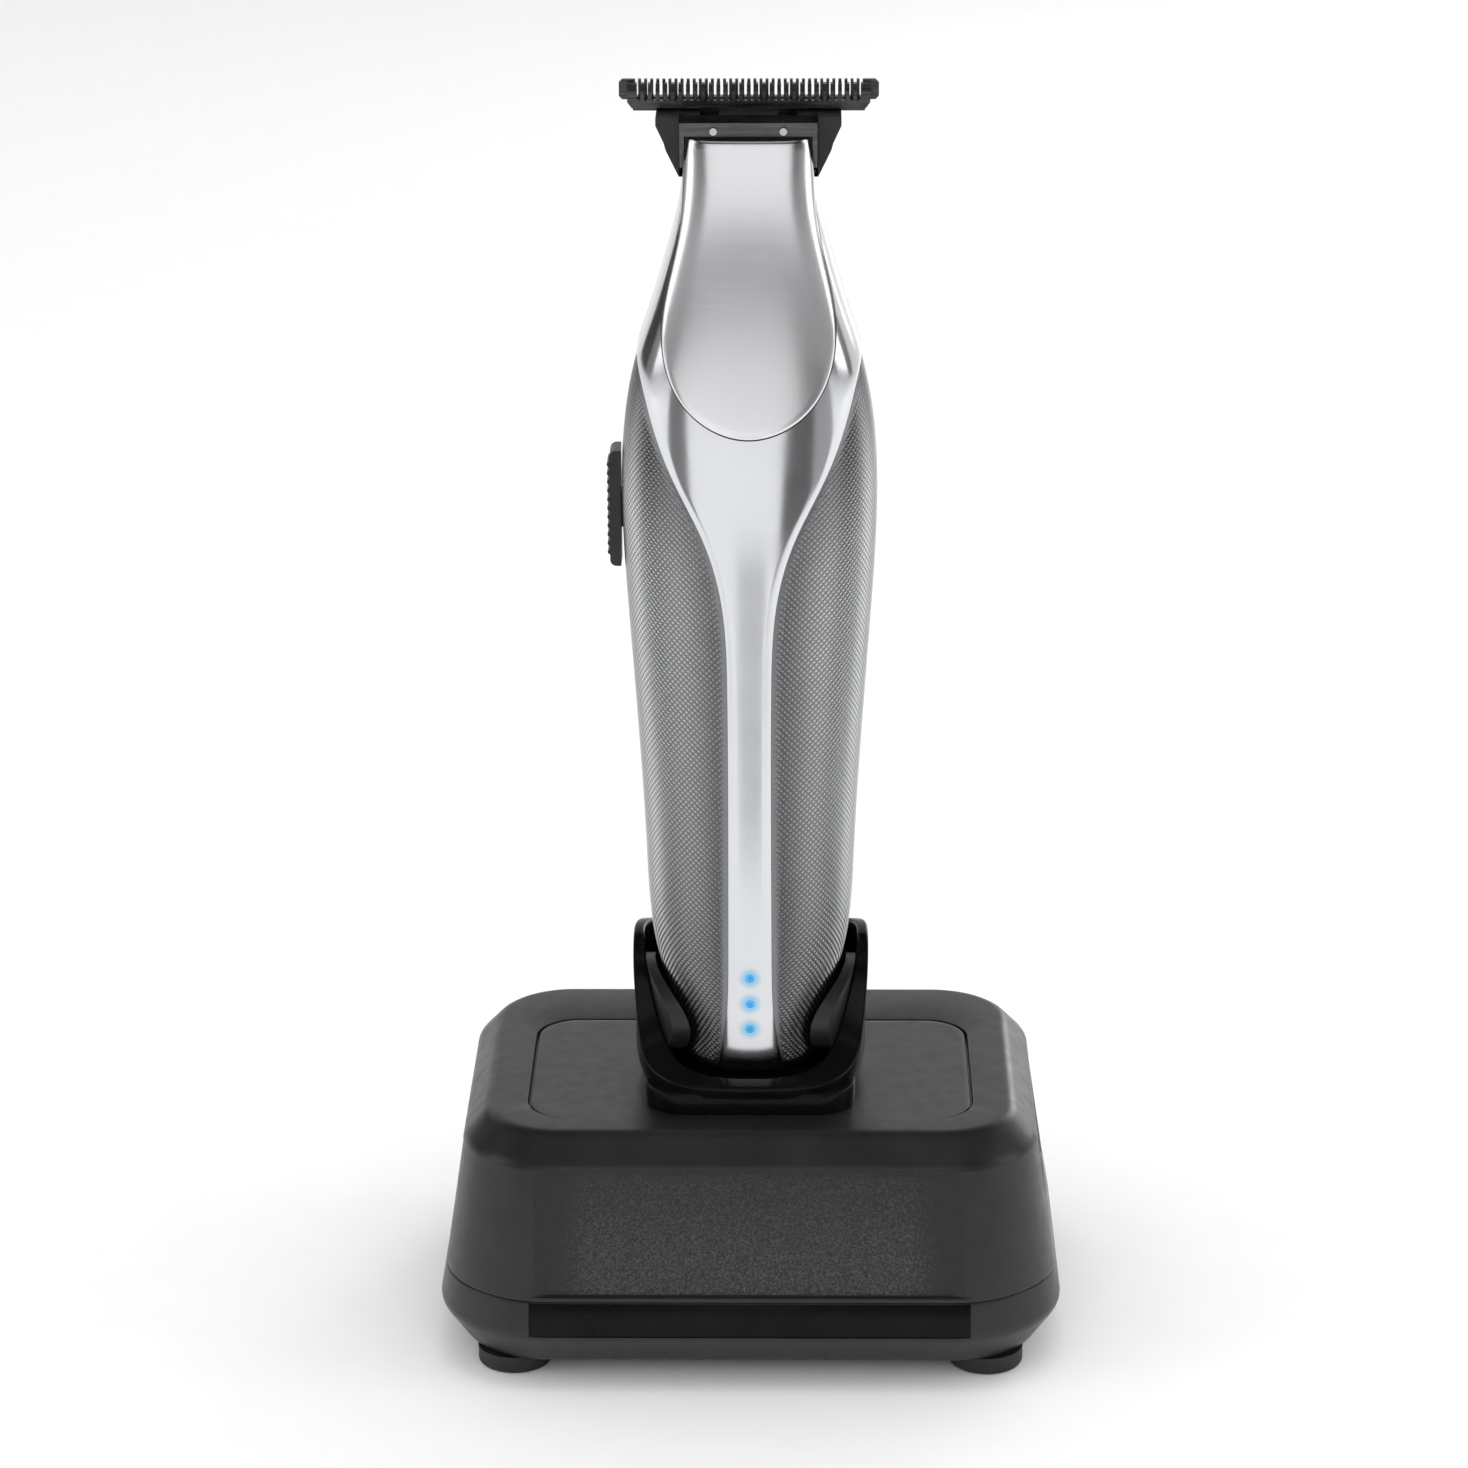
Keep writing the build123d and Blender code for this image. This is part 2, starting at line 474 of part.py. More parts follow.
def contact_parts():
    """Block in the cradle's stem with two spring pins in brass barrels."""
    block = box(-8.0, 8.0, TRIMMER_Y - 5.0, TRIMMER_Y + 5.0, STEM_LOW, 42.55)
    barrels, pins, springs = [], [], []
    for x in (-PIN_X, PIN_X):
        block = block - rod_z(x, TRIMMER_Y, 1.6, 35.4, 43)
        barrels.append(rod_z(x, TRIMMER_Y, 1.58, 35.4, 42.4) - rod_z(x, TRIMMER_Y, 1.0, 36.2, 43))
        tip = Pos(x, TRIMMER_Y, 43.4) * Sphere(0.95)
        pins.append(rod_z(x, TRIMMER_Y, 0.95, 39.2, 43.4) + tip)
        springs.append(helix_spring(x, TRIMMER_Y, 36.45, 38.9, 0.68, 0.13, 4))
    return block, barrels, pins, springs


def stand_inside():
    """Ballast, circuit board, power socket and the screws that hold the stand together."""
    ballast = extrude(Pos(0, 0, 5.6) * RectangleRounded(50.0, 52.0, 4.0), amount=5.0)
    board = box(-20.0, 20.0, 12.0, 27.0, 30.0, 31.2)
    socket = box(-6.0, 6.0, 24.0, 31.8, SOCKET_Z - 5.5, SOCKET_Z + 5.5) + rod_y(0, SOCKET_Z, 4.25, 31.8, 35.6)
    socket = socket - rod_y(0, SOCKET_Z, 2.75, 26.0, 36) + rod_y(0, SOCKET_Z, 1.0, 25.5, 34.5)
    tray_screws, board_screws, cradle_screws = [], [], []
    for x in (-POST_X, POST_X):
        for y in (-POST_Y, POST_Y):
            head = rod_z(x, y, 2.5, 3.2, 4.4) - box(x - 2, x + 2, y - 0.25, y + 0.25, 3, 3.7)
            tray_screws.append(head + rod_z(x, y, 1.18, 4.4, 16.0))
    for x in (-16.0, 16.0):
        board = board - rod_z(x, 18.0, 1.0, 29, 32)
        board_screws.append(rod_z(x, 18.0, 0.88, 30.0, 36.0) + rod_z(x, 18.0, 1.8, 28.8, 30.0))
    for x in (-14.2, 14.2):
        cradle_screws.append(rod_z(x, TRIMMER_Y, 0.88, 38.1, 43.0) + rod_z(x, TRIMMER_Y, 1.8, 36.7, 38.1))
    return ballast, board, socket, tray_screws, board_screws, cradle_screws


def feet():
    """Four soft feet, each with a peg into the tray."""
    made = []
    for x in (-FOOT_X, FOOT_X):
        for y in (-FOOT_Y, FOOT_Y):
            pad = rod_z(x, y, FOOT_RADIUS, 0, FOOT_HEIGHT)
            pad = fillet(pad.edges().group_by(Axis.Z)[0], 0.8)
            made.append(pad + rod_z(x, y, 2.95, FOOT_HEIGHT, 4.0))
    return made


# ---- writing the nodes ----

def write(name, shape):
    """One STEP file for each named piece; a list is a group of separate solids."""
    solids = []
    for item in shape if isinstance(shape, (list, tuple)) else [shape]:
        solids.extend(item.solids())
    group = solids[0] if len(solids) == 1 else Compound(children=solids)
    group.label = name
    export_step(group, "parts/" + name + ".step")


def write_trimmer():
    """Every piece that lifts out of the stand, moved to its place in the cradle."""
    place = Pos(0, TRIMMER_Y, TRIMMER_Z)
    front, rear, left, right, lid = housing_parts()
    front, rear, housing_screws = add_screw_bosses(front, rear)
    front, lenses = lamp_lenses(front)
    left, button, switch_body = switch_parts(left)
    can, magnets, collar, shaft, armature, cam = motor_parts()
    cell, tray, board, chips, lamp_board = power_parts()
    cap, contacts, jack = end_cap_parts()
    pieces = {
        "front_housing": front, "rear_housing": rear, "grip_left": left, "grip_right": right,
        "lid": lid, "housing_screws": housing_screws, "lamp_lenses": lenses,
        "blade_carrier": blade_carrier(), "blade_bracket": blade_bracket(),
        "bracket_pins": [rod_y(x, PIN_UP, 0.55, -9.9, -6.15) for x in (-PIN_OUT, PIN_OUT)],
        "fixed_blade": fixed_blade(),
        "blade_screws": [rod_y(x, 148.0, 0.95, -3.9, 1.8) + rod_y(x, 148.0, 1.9, 1.8, 2.9)
                         - box(x - 1.5, x + 1.5, 2.4, 3, 147.8, 148.2) for x in (-9.3, 9.3)],
        "tension_spring": tension_spring(), "cutter_blade": cutter_blade(),
        "cam_follower": cam_follower(), "motor_can": can, "motor_magnets": magnets,
        "motor_collar": collar, "motor_shaft": shaft, "motor_armature": armature,
        "eccentric_cam": cam, "battery_cell": cell, "battery_tray": tray,
        "main_board": board, "board_chips": chips, "lamp_board": lamp_board, "end_cap": cap,
        "charging_contacts": contacts, "charging_jack": jack, "switch_button": button,
        "switch_body": switch_body,
    }
    for name, shape in pieces.items():
        group = shape if isinstance(shape, (list, tuple)) else [shape]
        write(name, [place * item for item in group])


def write_stand():
    """Every piece of the charging stand."""
    front_panel, side_panels = stand_panels()
    block, barrels, pins, springs = contact_parts()
    ballast, board, socket, tray_screws, board_screws, cradle_screws = stand_inside()
    write("stand_shell", stand_shell())
    write("stand_tray", stand_tray())
    write("deck_plate", deck_plate())
    write("front_panel", front_panel)
    write("side_panels", side_panels)
    write("front_strip", wall_slab(TRAY_STATIONS[1:], 9.1, 14.3, 0.8, 0.5, STRIP_HALF - 0.1))
    write("cradle", cradle())
    write("cradle_pads", cradle_pads())
    write("contact_block", block)
    write("contact_barrels", barrels)
    for side, pin, spring in zip(("left", "right"), pins, springs):
        write("contact_pin_" + side, pin)
        write("contact_spring_" + side, spring)
    write("ballast_plate", ballast)
    write("stand_board", board)
    write("power_socket", socket)
    write("tray_screws", tray_screws)
    write("board_screws", board_screws)
    write("cradle_screws", cradle_screws)
    write("feet", feet())


os.makedirs("parts", exist_ok=True)
write_trimmer()
write_stand()
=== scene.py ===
import json
import math

import bmesh
import bpy
import numpy as np
from mathutils import Matrix, Vector


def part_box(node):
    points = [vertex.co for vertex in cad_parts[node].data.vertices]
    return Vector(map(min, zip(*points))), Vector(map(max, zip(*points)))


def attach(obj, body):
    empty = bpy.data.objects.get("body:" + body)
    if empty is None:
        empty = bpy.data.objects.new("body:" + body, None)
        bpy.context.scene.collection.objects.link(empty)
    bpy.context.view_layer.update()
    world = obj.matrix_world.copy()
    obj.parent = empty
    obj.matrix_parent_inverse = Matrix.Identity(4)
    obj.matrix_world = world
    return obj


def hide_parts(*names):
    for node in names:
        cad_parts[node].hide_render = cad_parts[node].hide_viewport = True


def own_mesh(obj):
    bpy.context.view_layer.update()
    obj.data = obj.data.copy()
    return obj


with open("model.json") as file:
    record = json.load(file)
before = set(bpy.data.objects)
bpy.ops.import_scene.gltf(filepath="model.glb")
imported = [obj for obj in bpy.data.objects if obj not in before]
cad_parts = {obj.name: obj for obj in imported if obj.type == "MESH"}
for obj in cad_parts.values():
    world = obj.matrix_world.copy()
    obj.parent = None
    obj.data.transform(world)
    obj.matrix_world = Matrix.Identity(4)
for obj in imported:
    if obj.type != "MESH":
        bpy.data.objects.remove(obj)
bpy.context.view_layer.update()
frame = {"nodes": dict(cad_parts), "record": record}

MM = 0.001

# ---- the trimmer's place and its body sections, in millimetres, as the CAD model has them ----
cap_low, cap_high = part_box("end_cap")
TRIMMER_X, TRIMMER_Y = 0.0, round((cap_low.y + cap_high.y) / 2 / MM, 2)
TRIMMER_Z = round(cap_low.z / MM, 2)
# (height, half width, front depth, back depth, squareness)
BODY = [
    (0.0, 8.8, 9.8, 9.8, 2.4), (0.7, 10.2, 11.3, 11.3, 2.4), (2.2, 11.0, 12.2, 12.2, 2.4),
    (5.5, 11.0, 12.5, 12.5, 2.4), (9.0, 12.1, 12.8, 12.8, 2.4), (14.0, 13.7, 13.0, 13.0, 2.4),
    (21.0, 15.2, 13.3, 13.3, 2.4), (35.0, 16.2, 13.8, 13.7, 2.4), (50.0, 17.0, 14.3, 14.1, 2.4),
    (65.0, 18.0, 14.8, 14.6, 2.4), (80.0, 19.0, 15.3, 15.1, 2.4), (92.0, 19.4, 15.5, 15.2, 2.5),
    (103.0, 18.9, 15.4, 14.6, 2.7), (112.0, 17.3, 15.0, 13.6, 3.0), (121.0, 14.4, 14.4, 12.0, 3.3),
    (130.0, 11.7, 13.5, 9.8, 3.5), (137.0, 10.0, 12.5, 7.6, 3.6), (145.0, 9.2, 10.8, 4.6, 3.6),
    (150.0, 9.0, 9.6, 2.6, 3.6),
]
SPINE = [(5.6, -1.0), (4.0, 8.0), (3.4, 22.0), (3.4, 64.0), (4.4, 79.0), (7.2, 88.5),
         (11.6, 97.5), (14.7, 106.0), (16.5, 113.0), (18.4, 120.0)]
LID = [(8.8, 148.0), (9.6, 144.0), (9.9, 138.0), (11.2, 130.0), (12.8, 121.5),
       (12.5, 115.2), (10.0, 109.3), (5.4, 105.3), (0.0, 103.9)]
# outline of the stand at each height: (height, width, depth, corner radius)
TRAY = [(2.9, 89.0, 65.6, 12.5), (8.8, 98.0, 74.6, 18.0), (14.6, 96.0, 72.6, 17.0)]
SHELL = [(14.6, 96.0, 72.6, 17.0), (36.2, 89.6, 67.2, 14.5), (40.5, 82.0, 59.0, 11.6)]
# the deck plate's edges, and the cradle cup about the trimmer's axis
PLATE_HALF, PLATE_FRONT, PLATE_BACK, PLATE_RADIUS = 34.8, -24.5, 16.0, 7.0
CUP_OUTER = [(43.4, 17.4, 18.7, 16.4, 3.0), (45.0, 17.8, 19.0, 16.8, 3.0), (51.0, 18.1, 19.2, 17.2, 3.0),
             (58.0, 18.4, 19.3, 17.4, 3.0), (63.8, 18.5, 19.3, 17.4, 3.0)]
CUP_INNER = [(44.35, 13.4, 15.8, 13.8, 2.8), (50.0, 14.5, 15.9, 14.4, 2.8), (56.0, 15.7, 16.1, 15.0, 2.8),
             (61.0, 16.5, 16.5, 15.4, 2.8), (66.5, 17.1, 17.0, 15.7, 2.8)]
# rim of the cup seen from the side, from the low front round to the back: (y, z)
CUP_RIM = [(-26.0, 45.3), (-22.5, 45.5), (-19.5, 46.2), (-16.5, 47.6), (-13.7, 50.2), (-11.6, 54.0),
           (-9.3, 58.6), (-6.2, 62.2), (-2.0, 63.6), (3.0, 63.1), (8.0, 61.2), (13.5, 58.4)]
NECK_TOP = 145.0
PROUD = 0.5
DECK_Z = 40.5


# ---- curves and meshes ----

def spline(keys):
    """Natural cubic spline through (position, value) keys, as a function."""
    x = np.array([k[0] for k in keys], float)
    y = np.array([k[1] for k in keys], float)
    h = np.diff(x)
    size = len(x)
    system, right = np.eye(size), np.zeros(size)
    for i in range(1, size - 1):
        system[i, i - 1:i + 2] = h[i - 1], 2 * (h[i - 1] + h[i]), h[i]
        right[i] = 6 * ((y[i + 1] - y[i]) / h[i] - (y[i] - y[i - 1]) / h[i - 1])
    bend = np.linalg.solve(system, right)

    def value(at):
        i = int(np.clip(np.searchsorted(x, at) - 1, 0, size - 2))
        a, b = x[i + 1] - at, at - x[i]
        cubic = (bend[i] * a ** 3 + bend[i + 1] * b ** 3) / (6 * h[i])
        return cubic + (y[i] / h[i] - bend[i] * h[i] / 6) * a + (y[i + 1] / h[i] - bend[i + 1] * h[i] / 6) * b

    return value


half_width = spline([(z, w) for z, w, f, b, n in BODY])
front_depth = spline([(z, f) for z, w, f, b, n in BODY])
back_depth = spline([(z, b) for z, w, f, b, n in BODY])
squareness = spline([(z, n) for z, w, f, b, n in BODY])
spine_half = spline([(z, w) for w, z in SPINE])


def depth_at(x, z, grow=0.0, back=False):
    """How far the body's surface stands from its middle plane at (x, z)."""
    wide = half_width(z) + grow
    deep = (back_depth(z) if back else front_depth(z)) + grow
    n = squareness(z)
    return deep * max(0.0, 1 - min(1.0, abs(x) / wide) ** n) ** (1 / n)


def smoothstep(low, high, value):
    """0 below low, 1 above high, and smooth between."""
    t = min(1.0, max(0.0, (value - low) / (high - low)))
    return t * t * (3 - 2 * t)


SMOOTH_ANGLE, ROUND_ANGLE, CAD_SMOOTH_ANGLE = 35.0, 30.0, 28.0
ROUND_SEGMENTS = 2
SAME_POINT = 1e-7


def new_object(name, verts, faces):
    """A mesh object in the scene, from points in metres."""
    mesh = bpy.data.meshes.new(name)
    mesh.from_pydata(verts, [], faces)
    obj = bpy.data.objects.new(name, mesh)
    bpy.context.scene.collection.objects.link(obj)
    return obj


def finish_mesh(name, verts, faces, body, slot, replaces=(), bevel=0.0, smooth=SMOOTH_ANGLE,
                trimmer=False, marks=None):
    """Makes a piece from points in millimetres, rounds its sharp edges and puts it on its body.
    marks holds a value from 0 to 1 for each point, which its material may read."""
    shift = Vector((TRIMMER_X, TRIMMER_Y, TRIMMER_Z)) if trimmer else Vector((0, 0, 0))
    obj = new_object(name, [(Vector(v) + shift) * MM for v in verts], faces)
    if marks:
        obj.data.attributes.new("mark", "FLOAT", "POINT").data.foreach_set("value", marks)
    obj.data.validate()
    tidy(obj)
    if bevel:
        round_edges(obj, bevel * MM)
    shade(obj, smooth)
    obj.data.materials.clear()
    obj.data.materials.append(paints[slot].material)
    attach(obj, body)
    if replaces:
        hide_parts(*replaces)
    return obj


def tidy(obj):
    """Joins doubled points and turns all faces outwards."""
    bm = bmesh.new()
    bm.from_mesh(obj.data)
    bmesh.ops.remove_doubles(bm, verts=bm.verts, dist=SAME_POINT)
    bmesh.ops.dissolve_degenerate(bm, edges=bm.edges, dist=SAME_POINT)
    bmesh.ops.recalc_face_normals(bm, faces=bm.faces)
    bm.to_mesh(obj.data)
    bm.free()


def round_edges(obj, width):
    """Bevels the sharp edges and keeps the result as the mesh."""
    cut = obj.modifiers.new("round", "BEVEL")
    cut.width = width
    cut.segments = ROUND_SEGMENTS
    cut.limit_method = "ANGLE"
    cut.angle_limit = math.radians(ROUND_ANGLE)
    cut.miter_outer = "MITER_ARC"
    bake_modifiers(obj)


def bake_modifiers(obj):
    """Replaces the mesh by what its modifiers make of it."""
    bpy.context.view_layer.update()
    seen = obj.evaluated_get(bpy.context.evaluated_depsgraph_get())
    mesh = bpy.data.meshes.new_from_object(seen)
    obj.modifiers.clear()
    obj.data = mesh


def shade(obj, angle):
    """Smooth shading, with edges sharper than angle kept crisp."""
    for face in obj.data.polygons:
        face.use_smooth = angle > 0
    if angle > 0:
        obj.data.set_sharp_from_angle(angle=math.radians(angle))


def sheet_faces(rows, cols, start=0, wrap=False, flip=False):
    """Quads of a grid of points stored row by row."""
    faces = []
    for r in range(rows - 1):
        for c in range(cols if wrap else cols - 1):
            d = (c + 1) % cols
            this, following = start + r * cols, start + (r + 1) * cols
            quad = [this + c, this + d, following + d, following + c]
            faces.append(quad[::-1] if flip else quad)
    return faces


def closed_sheet(outer, inner):
    """Points and faces of a solid between two grids with the same rows and columns."""
    rows, cols = len(outer), len(outer[0])
    verts = [p for row in outer for p in row] + [p for row in inner for p in row]
    base = rows * cols
    faces = sheet_faces(rows, cols) + sheet_faces(rows, cols, base, flip=True)

    def rim(cells):
        for a, b in zip(cells, cells[1:]):
            faces.append([a, base + a, base + b, b])

    top = [(rows - 1) * cols + c for c in range(cols)]
    rim(list(range(cols)))
    rim(top[::-1])
    rim([r * cols for r in range(rows)][::-1])
    rim([r * cols + cols - 1 for r in range(rows)])
    return verts, faces


def stack_rings(rings):
    """Points and faces of closed rings joined one to the next, with flat ends."""
    rows, cols = len(rings), len(rings[0])
    verts = [p for ring in rings for p in ring]
    faces = sheet_faces(rows, cols, wrap=True)
    faces.append(list(range(cols))[::-1])
    faces.append([(rows - 1) * cols + c for c in range(cols)])
    return verts, faces


def circle(count):
    """Evenly spaced angles once round."""
    return [2 * math.pi * k / count for k in range(count)]


def eased_point(before, corner, after, t):
    """Point at t, from 0 to 1, on the curve that rounds a corner."""
    return tuple((1 - t) ** 2 * a + 2 * t * (1 - t) * b + t ** 2 * c
                 for a, b, c in zip(before, corner, after))


# ---- materials ----

LAMP_HEIGHTS = (8.4, 12.7, 17.0)
LAMP_RADIUS = 0.62
LAMP_BLUE = (0.05, 0.36, 0.80)
# painted lamp light on the metal round each lamp: how far the painted tint and the painted glow reach, in
# millimetres, and how strongly
PAINTED_LAMP_TINT = (0.18, 0.48, 0.70)
PAINTED_TINT_REACH, PAINTED_TINT_SHARE = 2.1, 0.85
PAINTED_GLOW_REACH, PAINTED_GLOW_STRENGTH = 1.5, 0.12
# the lens: dark out to LENS_DARK, fully lit from LENS_LIT on
LENS_DARK, LENS_LIT, LENS_GLOW = 0.12, 0.5, (0.12, 0.62)


def lamp_centre(height):
    """Where a lamp meets the front of the housing, in metres."""
    return Vector((TRIMMER_X, TRIMMER_Y - depth_at(0.0, height, PROUD), TRIMMER_Z + height)) * MM


class Paint:
    """One procedural material, built node by node."""

    def __init__(self, name, metallic=0.0, roughness=0.5, specular=0.5):
        self.material = bpy.data.materials.new(name)
        self.material.use_nodes = True
        self.tree = self.material.node_tree
        self.shader = self.tree.nodes["Principled BSDF"]
        self.shader.inputs["Metallic"].default_value = metallic
        self.shader.inputs["Roughness"].default_value = roughness
        self.shader.inputs["Specular IOR Level"].default_value = specular
        self.coords = self.node("ShaderNodeTexCoord")
        self.height = None

    def node(self, kind, **values):
        made = self.tree.nodes.new(kind)
        for key, value in values.items():
            setattr(made, key, value)
        return made

    def mark(self):
        """The value that the mesh holds for each point."""
        return self.node("ShaderNodeAttribute", attribute_name="mark").outputs["Fac"]

    def link(self, source, target):
        self.tree.links.new(source, target)

    def place(self, scale=(1, 1, 1)):
        """Object coordinates, stretched."""
        mapping = self.node("ShaderNodeMapping")
        mapping.inputs["Scale"].default_value = scale
        self.link(self.coords.outputs["Object"], mapping.inputs["Vector"])
        return mapping.outputs["Vector"]

    def noise(self, scale, detail=3.0, stretch=(1, 1, 1), roughness=0.5):
        made = self.node("ShaderNodeTexNoise")
        made.inputs["Scale"].default_value = scale
        made.inputs["Detail"].default_value = detail
        made.inputs["Roughness"].default_value = roughness
        self.link(self.place(stretch), made.inputs["Vector"])
        return made.outputs["Fac"]

    def colour(self, fac, dark, light, low=0.35, high=0.65):
        """Base colour that runs from dark to light with a pattern."""
        ramp = self.node("ShaderNodeValToRGB")
        ramp.color_ramp.elements[0].position = low
        ramp.color_ramp.elements[1].position = high
        ramp.color_ramp.elements[0].color = (*dark, 1)
        ramp.color_ramp.elements[1].color = (*light, 1)
        self.link(fac, ramp.inputs["Fac"])
        self.link(ramp.outputs["Color"], self.shader.inputs["Base Color"])
        return ramp.outputs["Color"]

    def ranged(self, value, low, high, start=0.0, end=1.0, **kind):
        """Value that runs from start to end as another one runs from low to high."""
        made = self.node("ShaderNodeMapRange", **kind)
        for name, number in zip(("From Min", "From Max", "To Min", "To Max"), (low, high, start, end)):
            made.inputs[name].default_value = number
        self.link(value, made.inputs["Value"])
        return made.outputs["Result"]

    def maths(self, operation, a, b):
        """One arithmetic step on two values."""
        made = self.node("ShaderNodeMath", operation=operation)
        self.link(a, made.inputs[0])
        self.link(b, made.inputs[1])
        return made.outputs["Value"]

    def spread(self, fac, low, high):
        """Roughness between two values, with a pattern."""
        self.link(self.ranged(fac, 0.3, 0.7, low, high), self.shader.inputs["Roughness"])

    def round_lamps(self, near, far, inside, outside):
        """Value that runs from inside to outside with the distance from the nearest lamp."""
        nearest = None
        for height in LAMP_HEIGHTS:
            away = self.node("ShaderNodeVectorMath", operation="DISTANCE")
            away.inputs[1].default_value = lamp_centre(height)
            self.link(self.coords.outputs["Object"], away.inputs[0])
            distance = away.outputs["Value"]
            nearest = self.maths("MINIMUM", nearest, distance) if nearest else distance
        return self.ranged(nearest, near * MM, far * MM, inside, outside, interpolation_type="SMOOTHSTEP")

    def bump(self, fac, strength, distance):
        """Adds a relief pattern of the given depth in metres."""
        made = self.node("ShaderNodeBump")
        made.inputs["Strength"].default_value = strength
        made.inputs["Distance"].default_value = distance
        self.link(fac, made.inputs["Height"])
        if self.height is not None:
            self.link(self.height, made.inputs["Normal"])
        self.height = made.outputs["Normal"]
        self.link(self.height, self.shader.inputs["Normal"])


def chrome_paint():
    """Polished housing; round the three lamps the metal gets a painted blue tint and a painted glow."""
    paint = Paint("polished_chrome", metallic=1.0)
    metal = paint.colour(paint.noise(40, 2), (0.70, 0.71, 0.73), (0.73, 0.74, 0.76))
    # painted light: the metal round each lamp is tinted blue
    painted_tint = paint.node("ShaderNodeMix", data_type="RGBA")
    painted_tint.inputs["B"].default_value = (*PAINTED_LAMP_TINT, 1)
    paint.link(paint.round_lamps(LAMP_RADIUS, PAINTED_TINT_REACH, PAINTED_TINT_SHARE, 0.0), painted_tint.inputs["Factor"])
    paint.link(metal, painted_tint.inputs["A"])
    paint.link(painted_tint.outputs["Result"], paint.shader.inputs["Base Color"])
    paint.shader.inputs["Emission Color"].default_value = (*LAMP_BLUE, 1)
    # painted glow: the metal round each lamp gives off blue light
    glow = paint.round_lamps(LAMP_RADIUS, PAINTED_GLOW_REACH, PAINTED_GLOW_STRENGTH, 0.0)
    paint.link(glow, paint.shader.inputs["Emission Strength"])
    paint.spread(paint.noise(160, 3), 0.13, 0.18)
    paint.bump(paint.noise(900, 2), 0.04, 0.00001)
    return paint


def lid_paint():
    """Satin lid, brushed finely across."""
    paint = Paint("brushed_lid", metallic=1.0)
    streaks = paint.noise(110, 5, (0.7, 0.7, 60), 0.6)
    paint.colour(streaks, (0.78, 0.79, 0.81), (0.84, 0.84, 0.86), 0.2, 0.8)
    paint.spread(streaks, 0.23, 0.27)
    paint.bump(streaks, 0.03, 0.00002)
    return paint


def knurl_paint():
    """Knurled grip: the grooves are darker than the tips, as painted shade, and the tips lighter, as painted
    highlight; the mark also holds the painted shade beside the ridge.
    """
    paint = Paint("knurled_silver", metallic=1.0)
    paint.colour(paint.mark(), (0.10, 0.103, 0.106), (0.84, 0.85, 0.86), 0.0, 1.0)
    paint.spread(paint.noise(300, 2), 0.31, 0.35)
    return paint


def steel_paint(name, dark, light, rough, stretch=(1, 1, 1), scale=300):
    """Plain or brushed metal, from a dark and a light tone of it."""
    paint = Paint(name, metallic=1.0)
    grain = paint.noise(scale, 5, stretch, 0.6)
    paint.colour(grain, dark, light)
    paint.spread(grain, rough - 0.08, rough + 0.08)
    paint.bump(grain, 0.1, 0.00002)
    return paint


def plastic_paint(name, dark, light, rough, grain=1800, depth=0.00002, spec=0.5, strength=0.25):
    """Moulded plastic or rubber with a fine grain."""
    paint = Paint(name, specular=spec)
    paint.colour(paint.noise(120, 3), dark, light)
    paint.spread(paint.noise(400, 4), rough - 0.05, rough + 0.05)
    paint.bump(paint.noise(grain, 3), strength, depth)
    return paint


def sandblast_paint():
    """Sandblasted moulding; the grain fades where the point's mark is low, and the colour darkens with it,
    which also paints shade on the front panel.
    """
    paint = Paint("sandblasted_black", specular=0.42)
    specks = paint.ranged(paint.noise(2900, 2, roughness=0.6), 0.36, 0.70)
    grain = paint.maths("MULTIPLY", specks, paint.mark())
    paint.colour(grain, (0.014, 0.014, 0.015), (0.066, 0.066, 0.068), 0.15, 1.0)
    paint.spread(paint.noise(900, 2), 0.42, 0.58)
    paint.bump(grain, 0.45, 0.00008)
    return paint


def lamp_paint():
    """Lamp lens, brightest in a ring round a darker middle."""
    paint = Paint("lamp_blue", roughness=0.25)
    paint.colour(paint.noise(700, 1), (0.03, 0.22, 0.42), (0.05, 0.28, 0.50))
    paint.shader.inputs["Emission Color"].default_value = (*LAMP_BLUE, 1)
    glow = paint.round_lamps(LENS_DARK, LENS_LIT, *LENS_GLOW)
    paint.link(glow, paint.shader.inputs["Emission Strength"])
    return paint


def board_paint():
    """Green circuit board with paler tracks."""
    paint = Paint("board_green", specular=0.5)
    paint.colour(paint.noise(900, 1, (1, 1, 6)), (0.01, 0.07, 0.03), (0.03, 0.17, 0.07), 0.48, 0.52)
    paint.spread(paint.noise(500, 2), 0.28, 0.42)
    paint.bump(paint.noise(900, 1, (1, 1, 6)), 0.3, 0.00004)
    return paint


